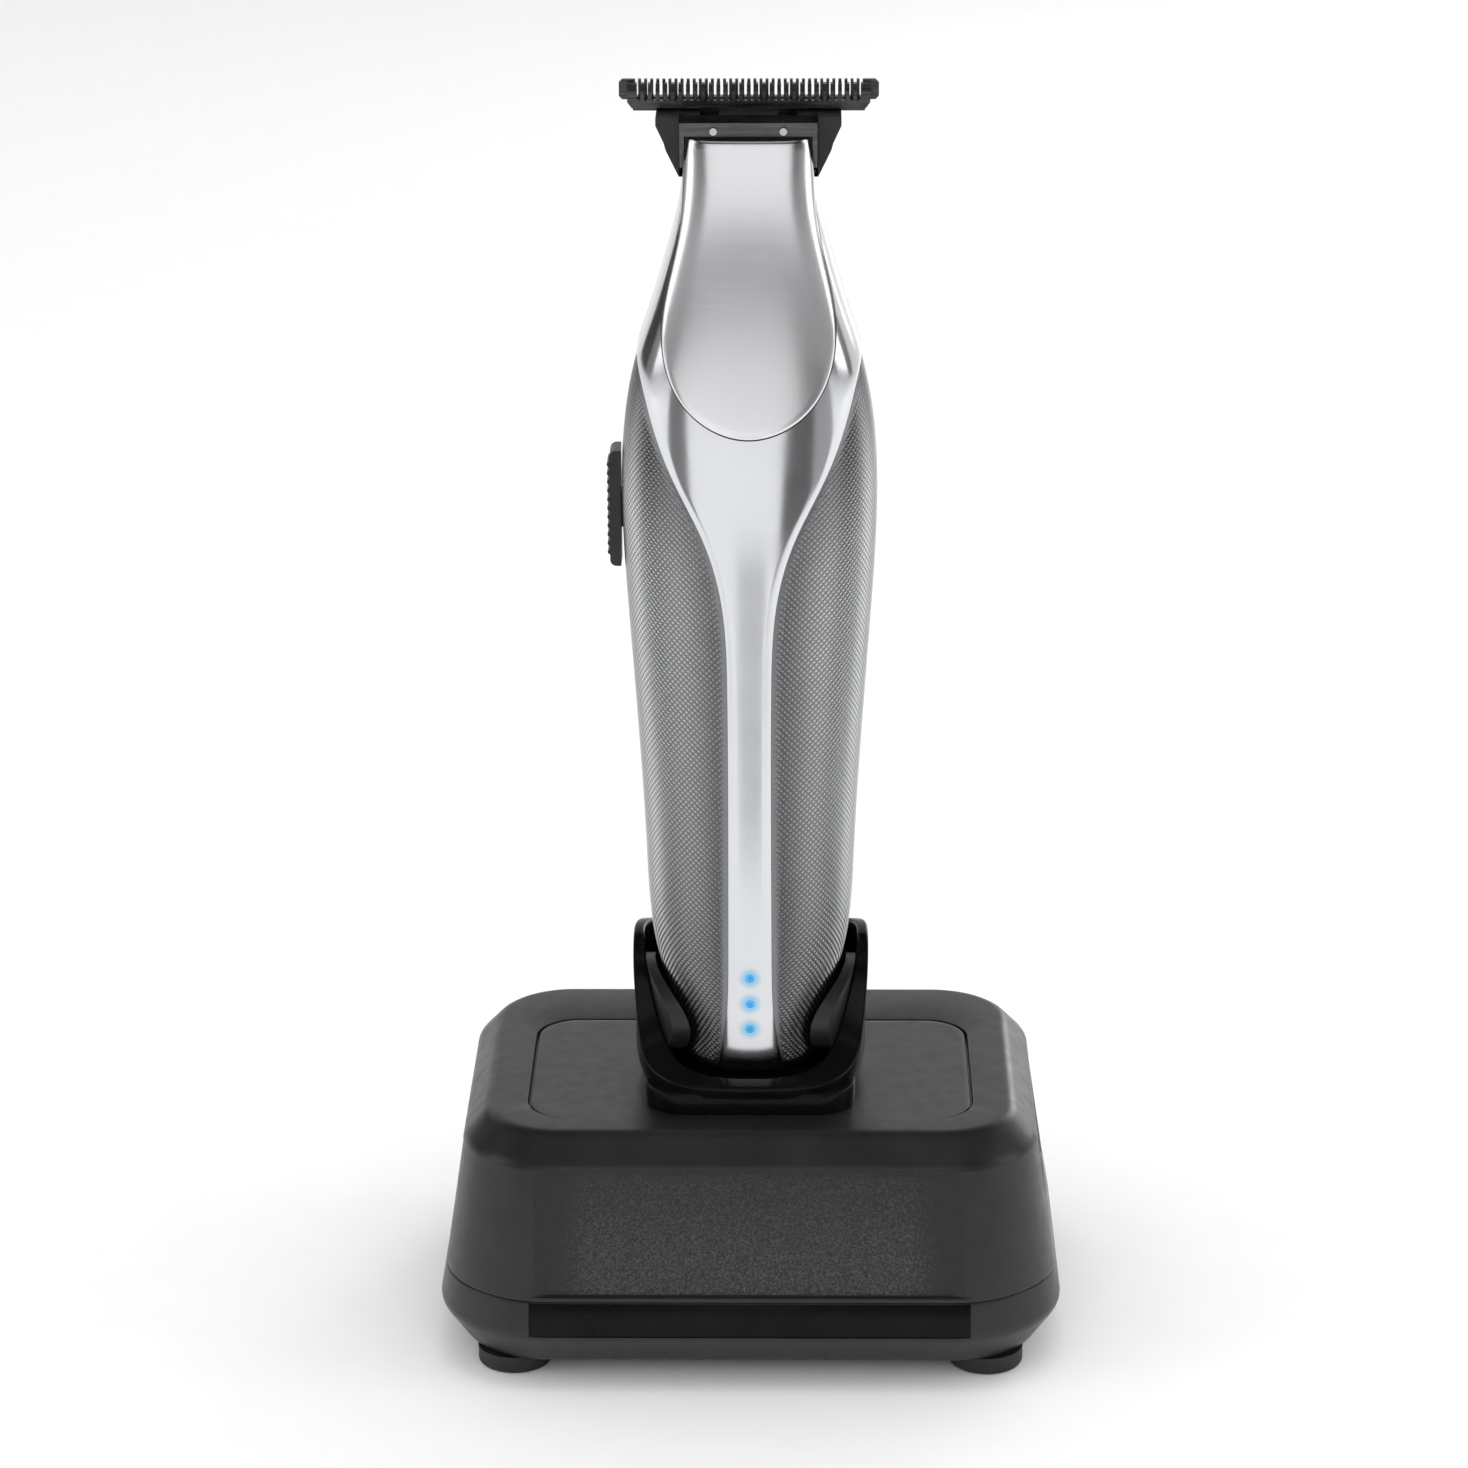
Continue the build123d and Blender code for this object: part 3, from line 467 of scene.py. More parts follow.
paints = {
    "chrome": chrome_paint(),
    "brushed_aluminium": lid_paint(),
    "knurled_silver": knurl_paint(),
    "blade_steel": steel_paint("blade_steel", (0.05, 0.05, 0.052), (0.12, 0.12, 0.122), 0.34,
                               (1, 1, 14), 220),
    "bracket_steel": steel_paint("bracket_steel", (0.10, 0.10, 0.098), (0.17, 0.17, 0.166), 0.40,
                                 (1, 1, 9), 160),
    "bright_steel": steel_paint("bright_steel", (0.50, 0.50, 0.51), (0.70, 0.70, 0.71), 0.25),
    "zinc_screw": steel_paint("zinc_screw", (0.34, 0.34, 0.35), (0.52, 0.52, 0.53), 0.30),
    "motor_steel": steel_paint("motor_steel", (0.42, 0.42, 0.42), (0.58, 0.58, 0.57), 0.32, (1, 1, 20), 80),
    "cast_ballast": steel_paint("cast_ballast", (0.05, 0.05, 0.05), (0.13, 0.12, 0.12), 0.62, scale=700),
    "contact_brass": steel_paint("contact_brass", (0.70, 0.50, 0.18), (0.86, 0.66, 0.30), 0.22),
    "black_plastic": plastic_paint("satin_black", (0.012, 0.012, 0.013), (0.016, 0.016, 0.017), 0.36,
                                   spec=0.42),
    "black_textured": sandblast_paint(),
    "black_gloss": plastic_paint("gloss_black", (0.003, 0.003, 0.003), (0.005, 0.005, 0.005), 0.20,
                                 spec=0.12, strength=0.05),
    "pad_rubber": plastic_paint("pad_rubber", (0.008, 0.008, 0.009), (0.013, 0.013, 0.014), 0.42, 2400),
    "foot_rubber": plastic_paint("foot_rubber", (0.010, 0.010, 0.010), (0.020, 0.020, 0.020), 0.60, 2600),
    "grey_plastic": plastic_paint("grey_moulding", (0.14, 0.14, 0.145), (0.19, 0.19, 0.195), 0.46),
    "lamp_blue": lamp_paint(),
    "board_green": board_paint(),
    "battery_sleeve": plastic_paint("battery_sleeve", (0.03, 0.09, 0.26), (0.05, 0.13, 0.34), 0.24),
}
for part in frame["record"]["subparts"]:
    mesh = frame["nodes"][part["node"]].data
    mesh.materials.clear()
    mesh.materials.append(paints[part["material_slot"]].material)
    for face in mesh.polygons:
        face.use_smooth = True
    mesh.set_sharp_from_angle(angle=math.radians(CAD_SMOOTH_ANGLE))


# ---- trimmer housing ----

ROW, HOUSING_COLS = 0.8, 56
FOOT_ROWS = [0.0, 0.25, 0.6, 1.1, 1.7, 2.4]
FOOT_TOP = 3.2
SPINE_END = 119.5
HOUSING_WALL, HOUSING_ROUND = 2.2, 0.22
# beside the grips the housing's edge rolls in over CROWN, until the head takes over
CROWN, CROWN_SINK, CROWN_END = 1.5, 0.06, (108.0, 117.0)
SCREW_HEIGHTS, SCREW_RADIUS = (25.0, 88.0), 2.0
SCREW_GAP, SCREW_DEEP = 0.08, 3.2
LAMP_GAP = 0.04


def rows_between(low, high, step=ROW):
    """Evenly spaced heights from low to high."""
    count = max(2, int(round((high - low) / step)) + 1)
    return [low + (high - low) * k / (count - 1) for k in range(count)]


def housing_half(back):
    """Chrome half shell: narrow ridge between the grips, full width at the head."""
    sign = 1 if back else -1
    outer, inner = [], []
    for z in FOOT_ROWS + rows_between(FOOT_TOP, NECK_TOP):
        full = half_width(z) + PROUD
        reach = min(spine_half(z), full) if z < SPINE_END else full
        beside_grip = 1 - smoothstep(*CROWN_END, z)
        line, under = [], []
        for c in range(HOUSING_COLS + 1):
            x = reach * math.sin(math.pi / 2 * (2 * c / HOUSING_COLS - 1))
            near = min(1.0, (reach - abs(x)) / CROWN)
            drop = beside_grip * (PROUD + CROWN_SINK) * (1 - math.sqrt(1 - (1 - near) ** 2))
            line.append((x, sign * (depth_at(x, z, PROUD, back) - drop), z))
            thin = PROUD - HOUSING_WALL
            x_under = min(reach, half_width(z) + thin) * x / reach
            under.append((x_under, sign * depth_at(x_under, z, thin, back), z))
        outer.append(line)
        inner.append(under)
    return closed_sheet(outer, inner)


def dug(obj, tools):
    """Takes the tool shapes away from an object, one by one."""
    for tool in tools:
        cut = obj.modifiers.new("dig", "BOOLEAN")
        cut.operation = "DIFFERENCE"
        cut.solver = "EXACT"
        cut.object = tool
        bake_modifiers(obj)
        bpy.data.objects.remove(tool)
    shade(obj, SMOOTH_ANGLE)


def tool_shape(name, verts, faces):
    """A closed shape, in millimetres, that only serves to cut another."""
    obj = new_object(name, [Vector(v) * MM for v in verts], faces)
    tidy(obj)
    return obj


def round_tool(name, x, z, radius, y0, y1):
    """A round bar along Y for cutting."""
    rings = [[(x + radius * math.cos(a), y, z + radius * math.sin(a)) for a in circle(48)] for y in (y0, y1)]
    return tool_shape(name, *stack_rings(rings))


def joined(parts):
    """Several closed meshes as one list of points and faces."""
    verts, faces = [], []
    for part_verts, part_faces in parts:
        faces += [[i + len(verts) for i in face] for face in part_faces]
        verts += part_verts
    return verts, faces


# (share of the lens's radius, how far behind the housing's surface)
DOME = ((1.0, 0.9), (1.0, 0.12), (0.93, 0.03), (0.7, -0.03), (0.35, -0.06), (0.08, -0.07))


def lamp_domes():
    """Three slightly domed lenses."""
    domes = []
    for height in LAMP_HEIGHTS:
        centre = lamp_centre(height) / MM
        rings = []
        for share, y in DOME:
            radius = LAMP_RADIUS * share
            rings.append([(centre.x + radius * math.cos(a), centre.y + y, centre.z + radius * math.sin(a))
                          for a in circle(32)])
        domes.append(stack_rings(rings))
    return joined(domes)


LID_TOP, LID_CENTRE, LID_TOP_STEPS = 148.0, 126.0, 16
# how far the lid stands out, how much of the body's curve it keeps, and its flattest place
LID_PROUD, LID_BEND, LID_NEAREST, LID_GAP = 0.9, 0.6, 7.0, 0.18
# (share of the way in from the outline, how far the surface is below its full height)
LID_STEPS = [(-1, 3.4), (0.0, 0.32), (0.006, 0.14), (0.014, 0.05), (0.026, 0.0), (0.07, 0.0),
             (0.15, 0.0), (0.26, 0.0), (0.38, 0.0), (0.50, 0.0), (0.62, 0.0), (0.74, 0.0),
             (0.86, 0.0), (0.95, 0.0)]
# the seam's painted shadow strip runs from under the lid's edge to just outside it
SEAM_INSIDE, SEAM_WIDTH, SEAM_PROUD, SEAM_DEEP = 0.25, 0.16, 0.03, 0.25


def lid_outline(count):
    """Right-hand outline of the lid from its top corner down to its lowest point, evenly spaced."""
    lengths = [0.0]
    for (x0, z0), (x1, z1) in zip(LID, LID[1:]):
        lengths.append(lengths[-1] + math.hypot(x1 - x0, z1 - z0))
    mirrored_x = [(s, x) for s, (x, z) in zip(lengths, LID)]
    mirrored_z = [(s, z) for s, (x, z) in zip(lengths, LID)]
    # the outline runs on past the lowest point as its own mirror, so that it is smooth there
    total = lengths[-1]
    for s, (x, z) in list(zip(lengths, LID))[-2::-1]:
        mirrored_x.append((2 * total - s, -x))
        mirrored_z.append((2 * total - s, z))
    along_x, along_z = spline(mirrored_x), spline(mirrored_z)
    return [(along_x(total * k / count), along_z(total * k / count)) for k in range(count + 1)]


def lid_mesh():
    """Domed lid: rings shrink from the outline towards a spine line, with a rolled edge."""
    right = lid_outline(60)
    left = [(-x, z) for x, z in reversed(right)][1:]
    corner = LID[0][0]
    top = [(-corner + 2 * corner * k / LID_TOP_STEPS, LID_TOP) for k in range(1, LID_TOP_STEPS)]
    outline = right + left + top
    rings = []
    for share, drop in LID_STEPS:
        ring = []
        for x, z in outline:
            k = max(share, 0.0)
            px, pz = x * (1 - k), z + (LID_CENTRE - z) * k
            gap = LID_GAP / max(1.0, math.hypot(x, z - LID_CENTRE)) if k == 0 else 0.0
            px, pz = px * (1 - gap), pz + (LID_CENTRE - pz) * gap
            crown = depth_at(0.0, pz, LID_PROUD)
            y = -(crown - LID_BEND * (crown - depth_at(px, pz, LID_PROUD))) + drop
            ring.append((px, min(y, -LID_NEAREST), pz))
        rings.append(ring)
    return stack_rings(rings)


def seam_shadow_strip_mesh():
    """Dark strip that follows the lid's sides and lower arc on the housing: painted shadow, standing in for
    the shade in the gap.
    """
    right = lid_outline(90)
    line = right + [(-x, z) for x, z in reversed(right)][1:]
    outer, inner = [[], []], [[], []]
    for k, (x, z) in enumerate(line):
        (x0, z0), (x1, z1) = line[max(k - 1, 0)], line[min(k + 1, len(line) - 1)]
        length = math.hypot(x1 - x0, z1 - z0)
        nx, nz = -(z1 - z0) / length, (x1 - x0) / length
        for side, reach in enumerate((-SEAM_INSIDE, SEAM_WIDTH)):
            px, pz = x + nx * reach, z + nz * reach
            deep = depth_at(px, pz, PROUD)
            outer[side].append((px, -deep - SEAM_PROUD, pz))
            inner[side].append((px, -deep + SEAM_DEEP, pz))
    return closed_sheet(outer, inner)


front = finish_mesh("front_housing_surface", *housing_half(back=False), "trimmer", "chrome",
                    ["front_housing"], bevel=HOUSING_ROUND, trimmer=True)
for height in LAMP_HEIGHTS:
    at = lamp_centre(height) / MM
    dug(front, [round_tool("lamp_hole", at.x, at.z, LAMP_RADIUS + LAMP_GAP, at.y - 1, at.y + 1)])
finish_mesh("lamp_lenses_surface", *lamp_domes(), "trimmer", "lamp_blue", ["lamp_lenses"])
rear = finish_mesh("rear_housing_surface", *housing_half(back=True), "trimmer", "chrome",
                   ["rear_housing"], bevel=HOUSING_ROUND, trimmer=True)
for height in SCREW_HEIGHTS:
    back_y = TRIMMER_Y + depth_at(0.0, height, PROUD, True)
    dug(rear, [round_tool("screw_hole", TRIMMER_X, TRIMMER_Z + height, SCREW_RADIUS + SCREW_GAP,
                          back_y - SCREW_DEEP, back_y + 1)])
finish_mesh("lid_surface", *lid_mesh(), "trimmer", "brushed_aluminium", ["lid"], trimmer=True)
# black strip as painted shadow round the lid
finish_mesh("lid_seam_painted_shadow", *seam_shadow_strip_mesh(), "trimmer", "black_plastic", trimmer=True)


# ---- knurled grips ----

KNURL, KNURL_DEPTH = 0.95, 0.17
GRIP_TOP, GRIP_REACH, GRIP_WALL = 116.4, 27.0, 1.6
# the knurl dies out towards the grip's edges: (distance at which it is gone, distance at which it is full)
KNURL_FADE, KNURL_FOOT, KNURL_HEAD, KNURL_RISE = (0.3, 1.5), 1.5, 0.8, 1.2
# tone of the knurl, the difference from groove to tip (painted shade in the grooves and painted highlight on
# the tips), and the painted shade beside the ridge
GRIP_TONE, GROOVE_SHADE_CONTRAST, GRIP_SHADE, GRIP_SHADE_WIDTH = 0.62, 0.95, 0.7, 13.0


def grip_arc(z, grow, count=90):
    """Points round the right side from the front edge to the back edge, with their lengths."""
    edge = min(spine_half(z), half_width(z) - 0.02)
    n = squareness(z)

    def angle_of(depth):
        y = depth * (1 - (edge / half_width(z)) ** n) ** (1 / n)
        return math.atan2(y, edge)

    low, high = -angle_of(front_depth(z)), angle_of(back_depth(z))
    points = []
    for k in range(count + 1):
        a = low + (high - low) * k / count
        c, s = math.cos(a), math.sin(a)
        deep = (front_depth(z) if s < 0 else back_depth(z)) + grow
        wide = half_width(z) + grow
        reach = (abs(c / wide) ** n + abs(s / deep) ** n) ** (-1 / n)
        points.append((reach * c, reach * s))
    lengths = [0.0]
    for (x0, y0), (x1, y1) in zip(points, points[1:]):
        lengths.append(lengths[-1] + math.hypot(x1 - x0, y1 - y0))
    widest = float(np.interp(0.0, [y for x, y in points], lengths))
    return points, [s - widest for s in lengths]


def along(points, lengths, s):
    """Point at length s on an arc, and the direction square to it."""
    s = min(max(s, lengths[0]), lengths[-1])
    k = int(np.clip(np.searchsorted(lengths, s) - 1, 0, len(lengths) - 2))
    span = max(lengths[k + 1] - lengths[k], 1e-9)
    t = (s - lengths[k]) / span
    (x0, y0), (x1, y1) = points[k], points[k + 1]
    dx, dy = (x1 - x0) / span, (y1 - y0) / span
    return x0 + (x1 - x0) * t, y0 + (y1 - y0) * t, dy, -dx


def grip_mesh(side):
    """Grip shell with a raised diamond knurl; side is +1 for the right grip and -1 for the left."""
    step = KNURL / 2
    count = int(GRIP_TOP / step)
    heights = [GRIP_TOP * k / count for k in range(count + 1)]
    lattice = [-GRIP_REACH + step * k for k in range(int(2 * GRIP_REACH / step) + 1)]
    outer, inner, marks = [], [], []
    for j, z in enumerate(heights):
        points, lengths = grip_arc(z, 0.0)
        low, high = lengths[0], lengths[-1]
        row_out, row_in = [], []
        for i, s in enumerate(lattice):
            x, y, nx, ny = along(points, lengths, s)
            room = min(s - low, high - s, (z - KNURL_FOOT) * KNURL_RISE,
                       (GRIP_TOP - KNURL_HEAD - z) * KNURL_RISE)
            peak = 1.0 if (i + j) % 2 else 0.0
            fade = smoothstep(*KNURL_FADE, room)
            rise = (peak - 0.5) * KNURL_DEPTH * fade
            # painted shade: the grip is darker near the raised ridge
            lit = 1 - GRIP_SHADE * (1 - smoothstep(0.0, GRIP_SHADE_WIDTH, s - low))
            # painted shade in the grooves and painted highlight on the tips, kept in the mark
            marks.append((GRIP_TONE + (peak - 0.5) * GROOVE_SHADE_CONTRAST * fade) * lit)
            row_out.append((side * (x + nx * rise), y + ny * rise, z))
            row_in.append((side * (x - nx * GRIP_WALL), y - ny * GRIP_WALL, z))
        outer.append(row_out)
        inner.append(row_in)
    return outer, inner, marks + [0.0] * len(marks)


NO_WIDTH = 1e-6


def knurled_faces(outer, inner):
    """Solid between the two grids: squares are split along the grooves so that pyramids stand up."""
    rows, cols = len(outer), len(outer[0])
    verts = [p for row in outer for p in row] + [p for row in inner for p in row]
    base = rows * cols
    faces = []
    used = [[False] * (cols - 1) for _ in range(rows - 1)]
    for r in range(rows - 1):
        for c in range(cols - 1):
            quad = [r * cols + c, r * cols + c + 1, (r + 1) * cols + c + 1, (r + 1) * cols + c]
            a, b, d, e = (verts[q] for q in quad)
            if max(math.dist(a, b), math.dist(e, d)) < NO_WIDTH:
                continue
            used[r][c] = True
            if (r + c) % 2 == 0:
                faces += [[quad[0], quad[1], quad[2]], [quad[0], quad[2], quad[3]]]
            else:
                faces += [[quad[0], quad[1], quad[3]], [quad[1], quad[2], quad[3]]]
            faces.append([base + q for q in quad[::-1]])
    for r in range(rows - 1):
        for c in range(cols - 1):
            if not used[r][c]:
                continue
            a, b, d, e = r * cols + c, r * cols + c + 1, (r + 1) * cols + c + 1, (r + 1) * cols + c
            if c == 0 or not used[r][c - 1]:
                faces.append([e, a, base + a, base + e])
            if c == cols - 2 or not used[r][c + 1]:
                faces.append([b, d, base + d, base + b])
            if r == 0 or not used[r - 1][c]:
                faces.append([a, b, base + b, base + a])
            if r == rows - 2 or not used[r + 1][c]:
                faces.append([d, e, base + e, base + d])
    return verts, faces


for side, node in ((1, "grip_right"), (-1, "grip_left")):
    outer, inner, marks = grip_mesh(side)
    finish_mesh(node + "_surface", *knurled_faces(outer, inner), "trimmer", "knurled_silver", [node],
                trimmer=True, smooth=0, marks=marks)


# ---- stand ----

CORNER_STEPS, FRONT_STEPS, SIDE_STEPS = 40, 30, 20


def rounded_ring(width, depth, radius, z, middle=0.0):
    """Rounded rectangle as a closed ring, the same number of points whatever its size."""
    half_x, half_y = width / 2 - radius, depth / 2 - radius
    ring = []
    corners = [(half_x, -half_y, -90), (half_x, half_y, 0), (-half_x, half_y, 90), (-half_x, -half_y, 180)]
    for k, (cx, cy, start) in enumerate(corners):
        for step in range(CORNER_STEPS + 1):
            a = math.radians(start + 90 * step / CORNER_STEPS)
            ring.append((cx + radius * math.cos(a), middle + cy + radius * math.sin(a), z))
        nx, ny, after = corners[(k + 1) % 4]
        a = math.radians(start + 90)
        x0, y0 = cx + radius * math.cos(a), cy + radius * math.sin(a)
        x1, y1 = nx + radius * math.cos(a), ny + radius * math.sin(a)
        steps = FRONT_STEPS if abs(x1 - x0) > abs(y1 - y0) else SIDE_STEPS
        for step in range(1, steps):
            t = step / steps
            ring.append((x0 + (x1 - x0) * t, middle + y0 + (y1 - y0) * t, z))
    return ring


def station_at(stations, z):
    """Width, depth and corner radius of a straight-sided stack at height z."""
    for low, high in zip(stations, stations[1:]):
        if z <= high[0]:
            break
    t = (z - low[0]) / (high[0] - low[0])
    return [z] + [a + (b - a) * t for a, b in zip(low[1:], high[1:])]


def eased(before, corner, after, steps):
    """Stations that round the corner between two straight stretches."""
    return [eased_point(before, corner, after, k / steps) for k in range(steps + 1)]


def inset(station, amount, z=None):
    """The same station drawn in by an amount all round."""
    height, width, depth, radius = station
    return [height if z is None else z, width - 2 * amount, depth - 2 * amount, max(radius - amount, 0.5)]


PANEL_LOW, PANEL_HIGH, PANEL_HALF, SIDE_HALF = 15.4, 35.2, 33.4, 20.0
PANEL_DEEP, PANEL_SOFT, PANEL_STEP, PANEL_GAP = 0.75, 2.8, 0.1, 0.03
PLATE_GROOVE = 0.5
SOCKET_HEIGHT, SOCKET_RADIUS, SOCKET_BAR = 22.0, 4.3, (30.0, 40.0)
STRIP_LOW, STRIP_HIGH, STRIP_HALF, STRIP_GAP = 9.1, 14.3, 34.1, 0.1
# inside of the shell and of the tray: (height, wall)
SHELL_ROOF, SHELL_FOOT = (36.4, 3.2), (14.6, 2.4)
TRAY_RIM, TRAY_FLOOR = (14.5, 2.4), (5.6, 2.0)


def ends_share(half, across):
    """1 on the flat of a recess, easing out to 0 past its ends."""
    return 1 - smoothstep(half - PANEL_SOFT, half + 0.35 * PANEL_SOFT, abs(across))


def recess_share(across, z, half):
    """1 inside the shallow recess in the front or in a side, 0 outside it."""
    up = smoothstep(PANEL_LOW - PANEL_STEP, PANEL_LOW + PANEL_STEP, z)
    down = 1 - smoothstep(PANEL_HIGH - PANEL_STEP, PANEL_HIGH + PANEL_STEP, z)
    return ends_share(half, across) * up * down


def dished(point, station, deep):
    """Moves a point of the shell's wall in where the front or a side panel sits."""
    x, y, z = point
    _, width, depth, _ = station
    if y < 0 and abs(x) < PANEL_HALF + 2:
        y = y + recess_share(x, z, PANEL_HALF) * max(0.0, (-depth / 2 + deep) - y)
    if abs(y) < SIDE_HALF + 2 and abs(x) > PANEL_HALF:
        sunk = recess_share(y, z, SIDE_HALF) * max(0.0, abs(x) - (width / 2 - deep))
        x = x - math.copysign(sunk, x)
    return x, y, z


def shell_mesh():
    """Upper shell: dished walls, eased chamfer, deck with the plate's recess, and an inside."""
    stations = [inset(station_at(SHELL, 14.6), 0.22), inset(station_at(SHELL, 14.66), 0.07),
                station_at(SHELL, 14.8), station_at(SHELL, 15.05)]
    for z in (15.28, 15.34, 15.4, 15.46, 15.52, 15.8):
        stations.append(station_at(SHELL, z))
    stations += [station_at(SHELL, z) for z in rows_between(16.5, 34.5, 1.5)]
    for z in (35.0, 35.08, 35.14, 35.2, 35.26, 35.32):
        stations.append(station_at(SHELL, z))
    stations += eased(station_at(SHELL, 35.45), station_at(SHELL, 36.2), station_at(SHELL, 37.1), 6)
    stations.append(station_at(SHELL, 38.4))
    edge = station_at(SHELL, DECK_Z)
    stations += eased(station_at(SHELL, 39.6), edge, inset(edge, 1.1), 6)
    rings = []
    for station in stations:
        z, width, depth, radius = station
        ring = rounded_ring(width, depth, radius, z)
        rings.append([dished(p, station, PANEL_DEEP + PANEL_GAP) for p in ring])
    middle, deep = (PLATE_FRONT + PLATE_BACK) / 2, PLATE_BACK - PLATE_FRONT
    for grow, z in ((0.15, DECK_Z), (0.04, DECK_Z - 0.04), (0.0, DECK_Z - 0.15), (0.0, DECK_Z - 1.2)):
        size = 2 * PLATE_HALF + 2 * grow
        rings.append(rounded_ring(size, deep + grow, PLATE_RADIUS + grow, z, middle + grow / 2))
    inside = [rounded_ring(*inset(station_at(SHELL, z), wall)[1:], z) for z, wall in (SHELL_ROOF, SHELL_FOOT)]
    return stack_rings(inside + rings)


def tray_mesh():
    """Lower tray: eased flare and a flat underside."""
    low, wide, top = TRAY
    stations = [inset(low, 1.2, 2.9)] + eased(inset(low, 1.0), low, station_at(TRAY, 3.9), 4)
    stations += [station_at(TRAY, z) for z in (5.5, 7.0)]
    stations += eased(station_at(TRAY, 7.9), wide, station_at(TRAY, 9.9), 8)
    stations += [station_at(TRAY, z) for z in (11.5, 13.2, 14.1)]
    stations += [inset(station_at(TRAY, 14.42), 0.02), inset(station_at(TRAY, 14.52), 0.1), inset(top, 0.28)]
    rings = [rounded_ring(w, d, r, z) for z, w, d, r in stations]
    inside = [rounded_ring(*inset(edge, wall)[1:], z)
              for edge, (z, wall) in ((top, TRAY_RIM), (low, TRAY_FLOOR))]
    return stack_rings(rings + inside)


def grain_and_shade_share(x, z):
    """How strong the sandblasted grain is: none at the panel's ends, most in the lower middle. Towards the
    top the same value paints shade, so the panel is darker there.
    """
    across = 1 - smoothstep(PANEL_HALF - 10.0, PANEL_HALF - 1.0, abs(x))
    # painted shade: weaker grain and a darker panel towards the top
    up = 1 - 0.45 * smoothstep(PANEL_LOW + 4.0, PANEL_HIGH, z)
    return across * up


PANEL_EDGE, PANEL_THICK, PANEL_FIT = 0.08, 0.5, 0.9985


def panel_sheet(half, count, step, side=0):
    """Panel let into a wall: flat, and easing out to the rounded corners at both ends. side is 0 for
    the front, or +1 or -1. Returns its points and faces, and the places across and up of its points."""
    columns = [half * math.sin(math.pi / 2 * (2 * c / count - 1)) * PANEL_FIT for c in range(count + 1)]
    rows = [PANEL_LOW + 0.12, PANEL_LOW + 0.2] + rows_between(PANEL_LOW + 0.5, PANEL_HIGH - 0.5, step)
    rows += [PANEL_HIGH - 0.2, PANEL_HIGH - 0.12]
    outer, inner = [], []
    for k, z in enumerate(rows):
        _, width, depth, radius = station_at(SHELL, z)
        across, out = (depth / 2, width / 2) if side else (width / 2, depth / 2)
        line, under = [], []
        for c in columns:
            past = max(0.0, abs(c) - (across - radius))
            wall = out - radius + math.sqrt(radius ** 2 - past ** 2)
            face = wall - ends_share(half, c) * max(0.0, wall - (out - PANEL_DEEP))
            top = face - (PANEL_EDGE if k in (0, len(rows) - 1) else 0.0)
            for points, reach in ((line, top), (under, face - PANEL_THICK)):
                points.append((side * reach, c, z) if side else (c, -reach, z))
        outer.append(line)
        inner.append(under)
    return closed_sheet(outer, inner), [(c, z) for z in rows for c in columns]


def plate_mesh():
    """Deck plate: flush at the front, drawn in by the groove at its sides and back."""
    rings = []
    for inward, z in ((0.0, DECK_Z - 1.15), (0.0, DECK_Z - 0.14), (0.04, DECK_Z - 0.04), (0.14, DECK_Z),
                      (1.0, DECK_Z)):
        gap = PLATE_GROOVE + inward
        back = PLATE_BACK - gap
        rings.append(rounded_ring(2 * (PLATE_HALF - gap), back - PLATE_FRONT, PLATE_RADIUS - gap, z,
                                  (PLATE_FRONT + back) / 2))
    return stack_rings(rings)


def strip_ring(inward, deep):
    """The strip's outline drawn in by inward, at a depth behind the tray's front."""
    low, high, half = STRIP_LOW + inward, STRIP_HIGH - inward, STRIP_HALF - inward
    corners = ((-half, low), (half, low), (half, high), (-half, high))
    return [(x, -station_at(TRAY, z)[2] / 2 + deep, z) for x, z in corners]


def strip_mesh():
    """Gloss strip let into the front of the tray."""
    return stack_rings([strip_ring(inward, deep)
                        for inward, deep in ((0.0, 0.8), (0.0, 0.42), (0.03, 0.33), (0.12, 0.3))])


# ---- cradle ----

CONTACT_X, PIN_HOLE = 4.0, 1.1
CUP_COLUMNS, RIM_EASE = 360, 0.55
PLINTH_WIDTH, PLINTH_DEPTH, PLINTH_RADIUS, PLINTH_MIDDLE = 32.8, 35.5, 6.0, -5.5
# (how far the edge is drawn in, height above the deck)
PLINTH_PROFILE = ((0.4, 0.0), (0.08, 0.08), (0.0, 0.4), (0.0, 3.2), (0.1, 3.5), (0.4, 3.6))
SPRING_WIRE, SPRING_TURNS, SPRING_STEPS = 0.13, 4, 28
rim_height = spline(CUP_RIM)


def cup_sections(table):
    """Half width, front, back and squareness of a cup surface as functions of height."""
    return [spline([(row[0], row[k]) for row in table]) for k in range(1, 5)]


def cup_point(sections, angle, z):
    """Point of a cup surface at a height, in a direction from the trimmer's axis."""
    wide, front, back, square = [f(z) for f in sections]
    c, s = math.cos(angle), math.sin(angle)
    deep = front if s < 0 else back
    reach = (abs(c / wide) ** square + abs(s / deep) ** square) ** (-1 / square)
    return reach * c, TRIMMER_Y + reach * s, z


def cup_rim_point(sections, angle):
    """Where a cup surface meets the rim."""
    z = 50.0
    for _ in range(30):
        point = cup_point(sections, angle, z)
        z = 0.5 * z + 0.5 * rim_height(point[1])
    return cup_point(sections, angle, z)


def blend_points(a, b, t):
    """Point at a share of the way from a to b."""
    return tuple(p + (q - p) * t for p, q in zip(a, b))


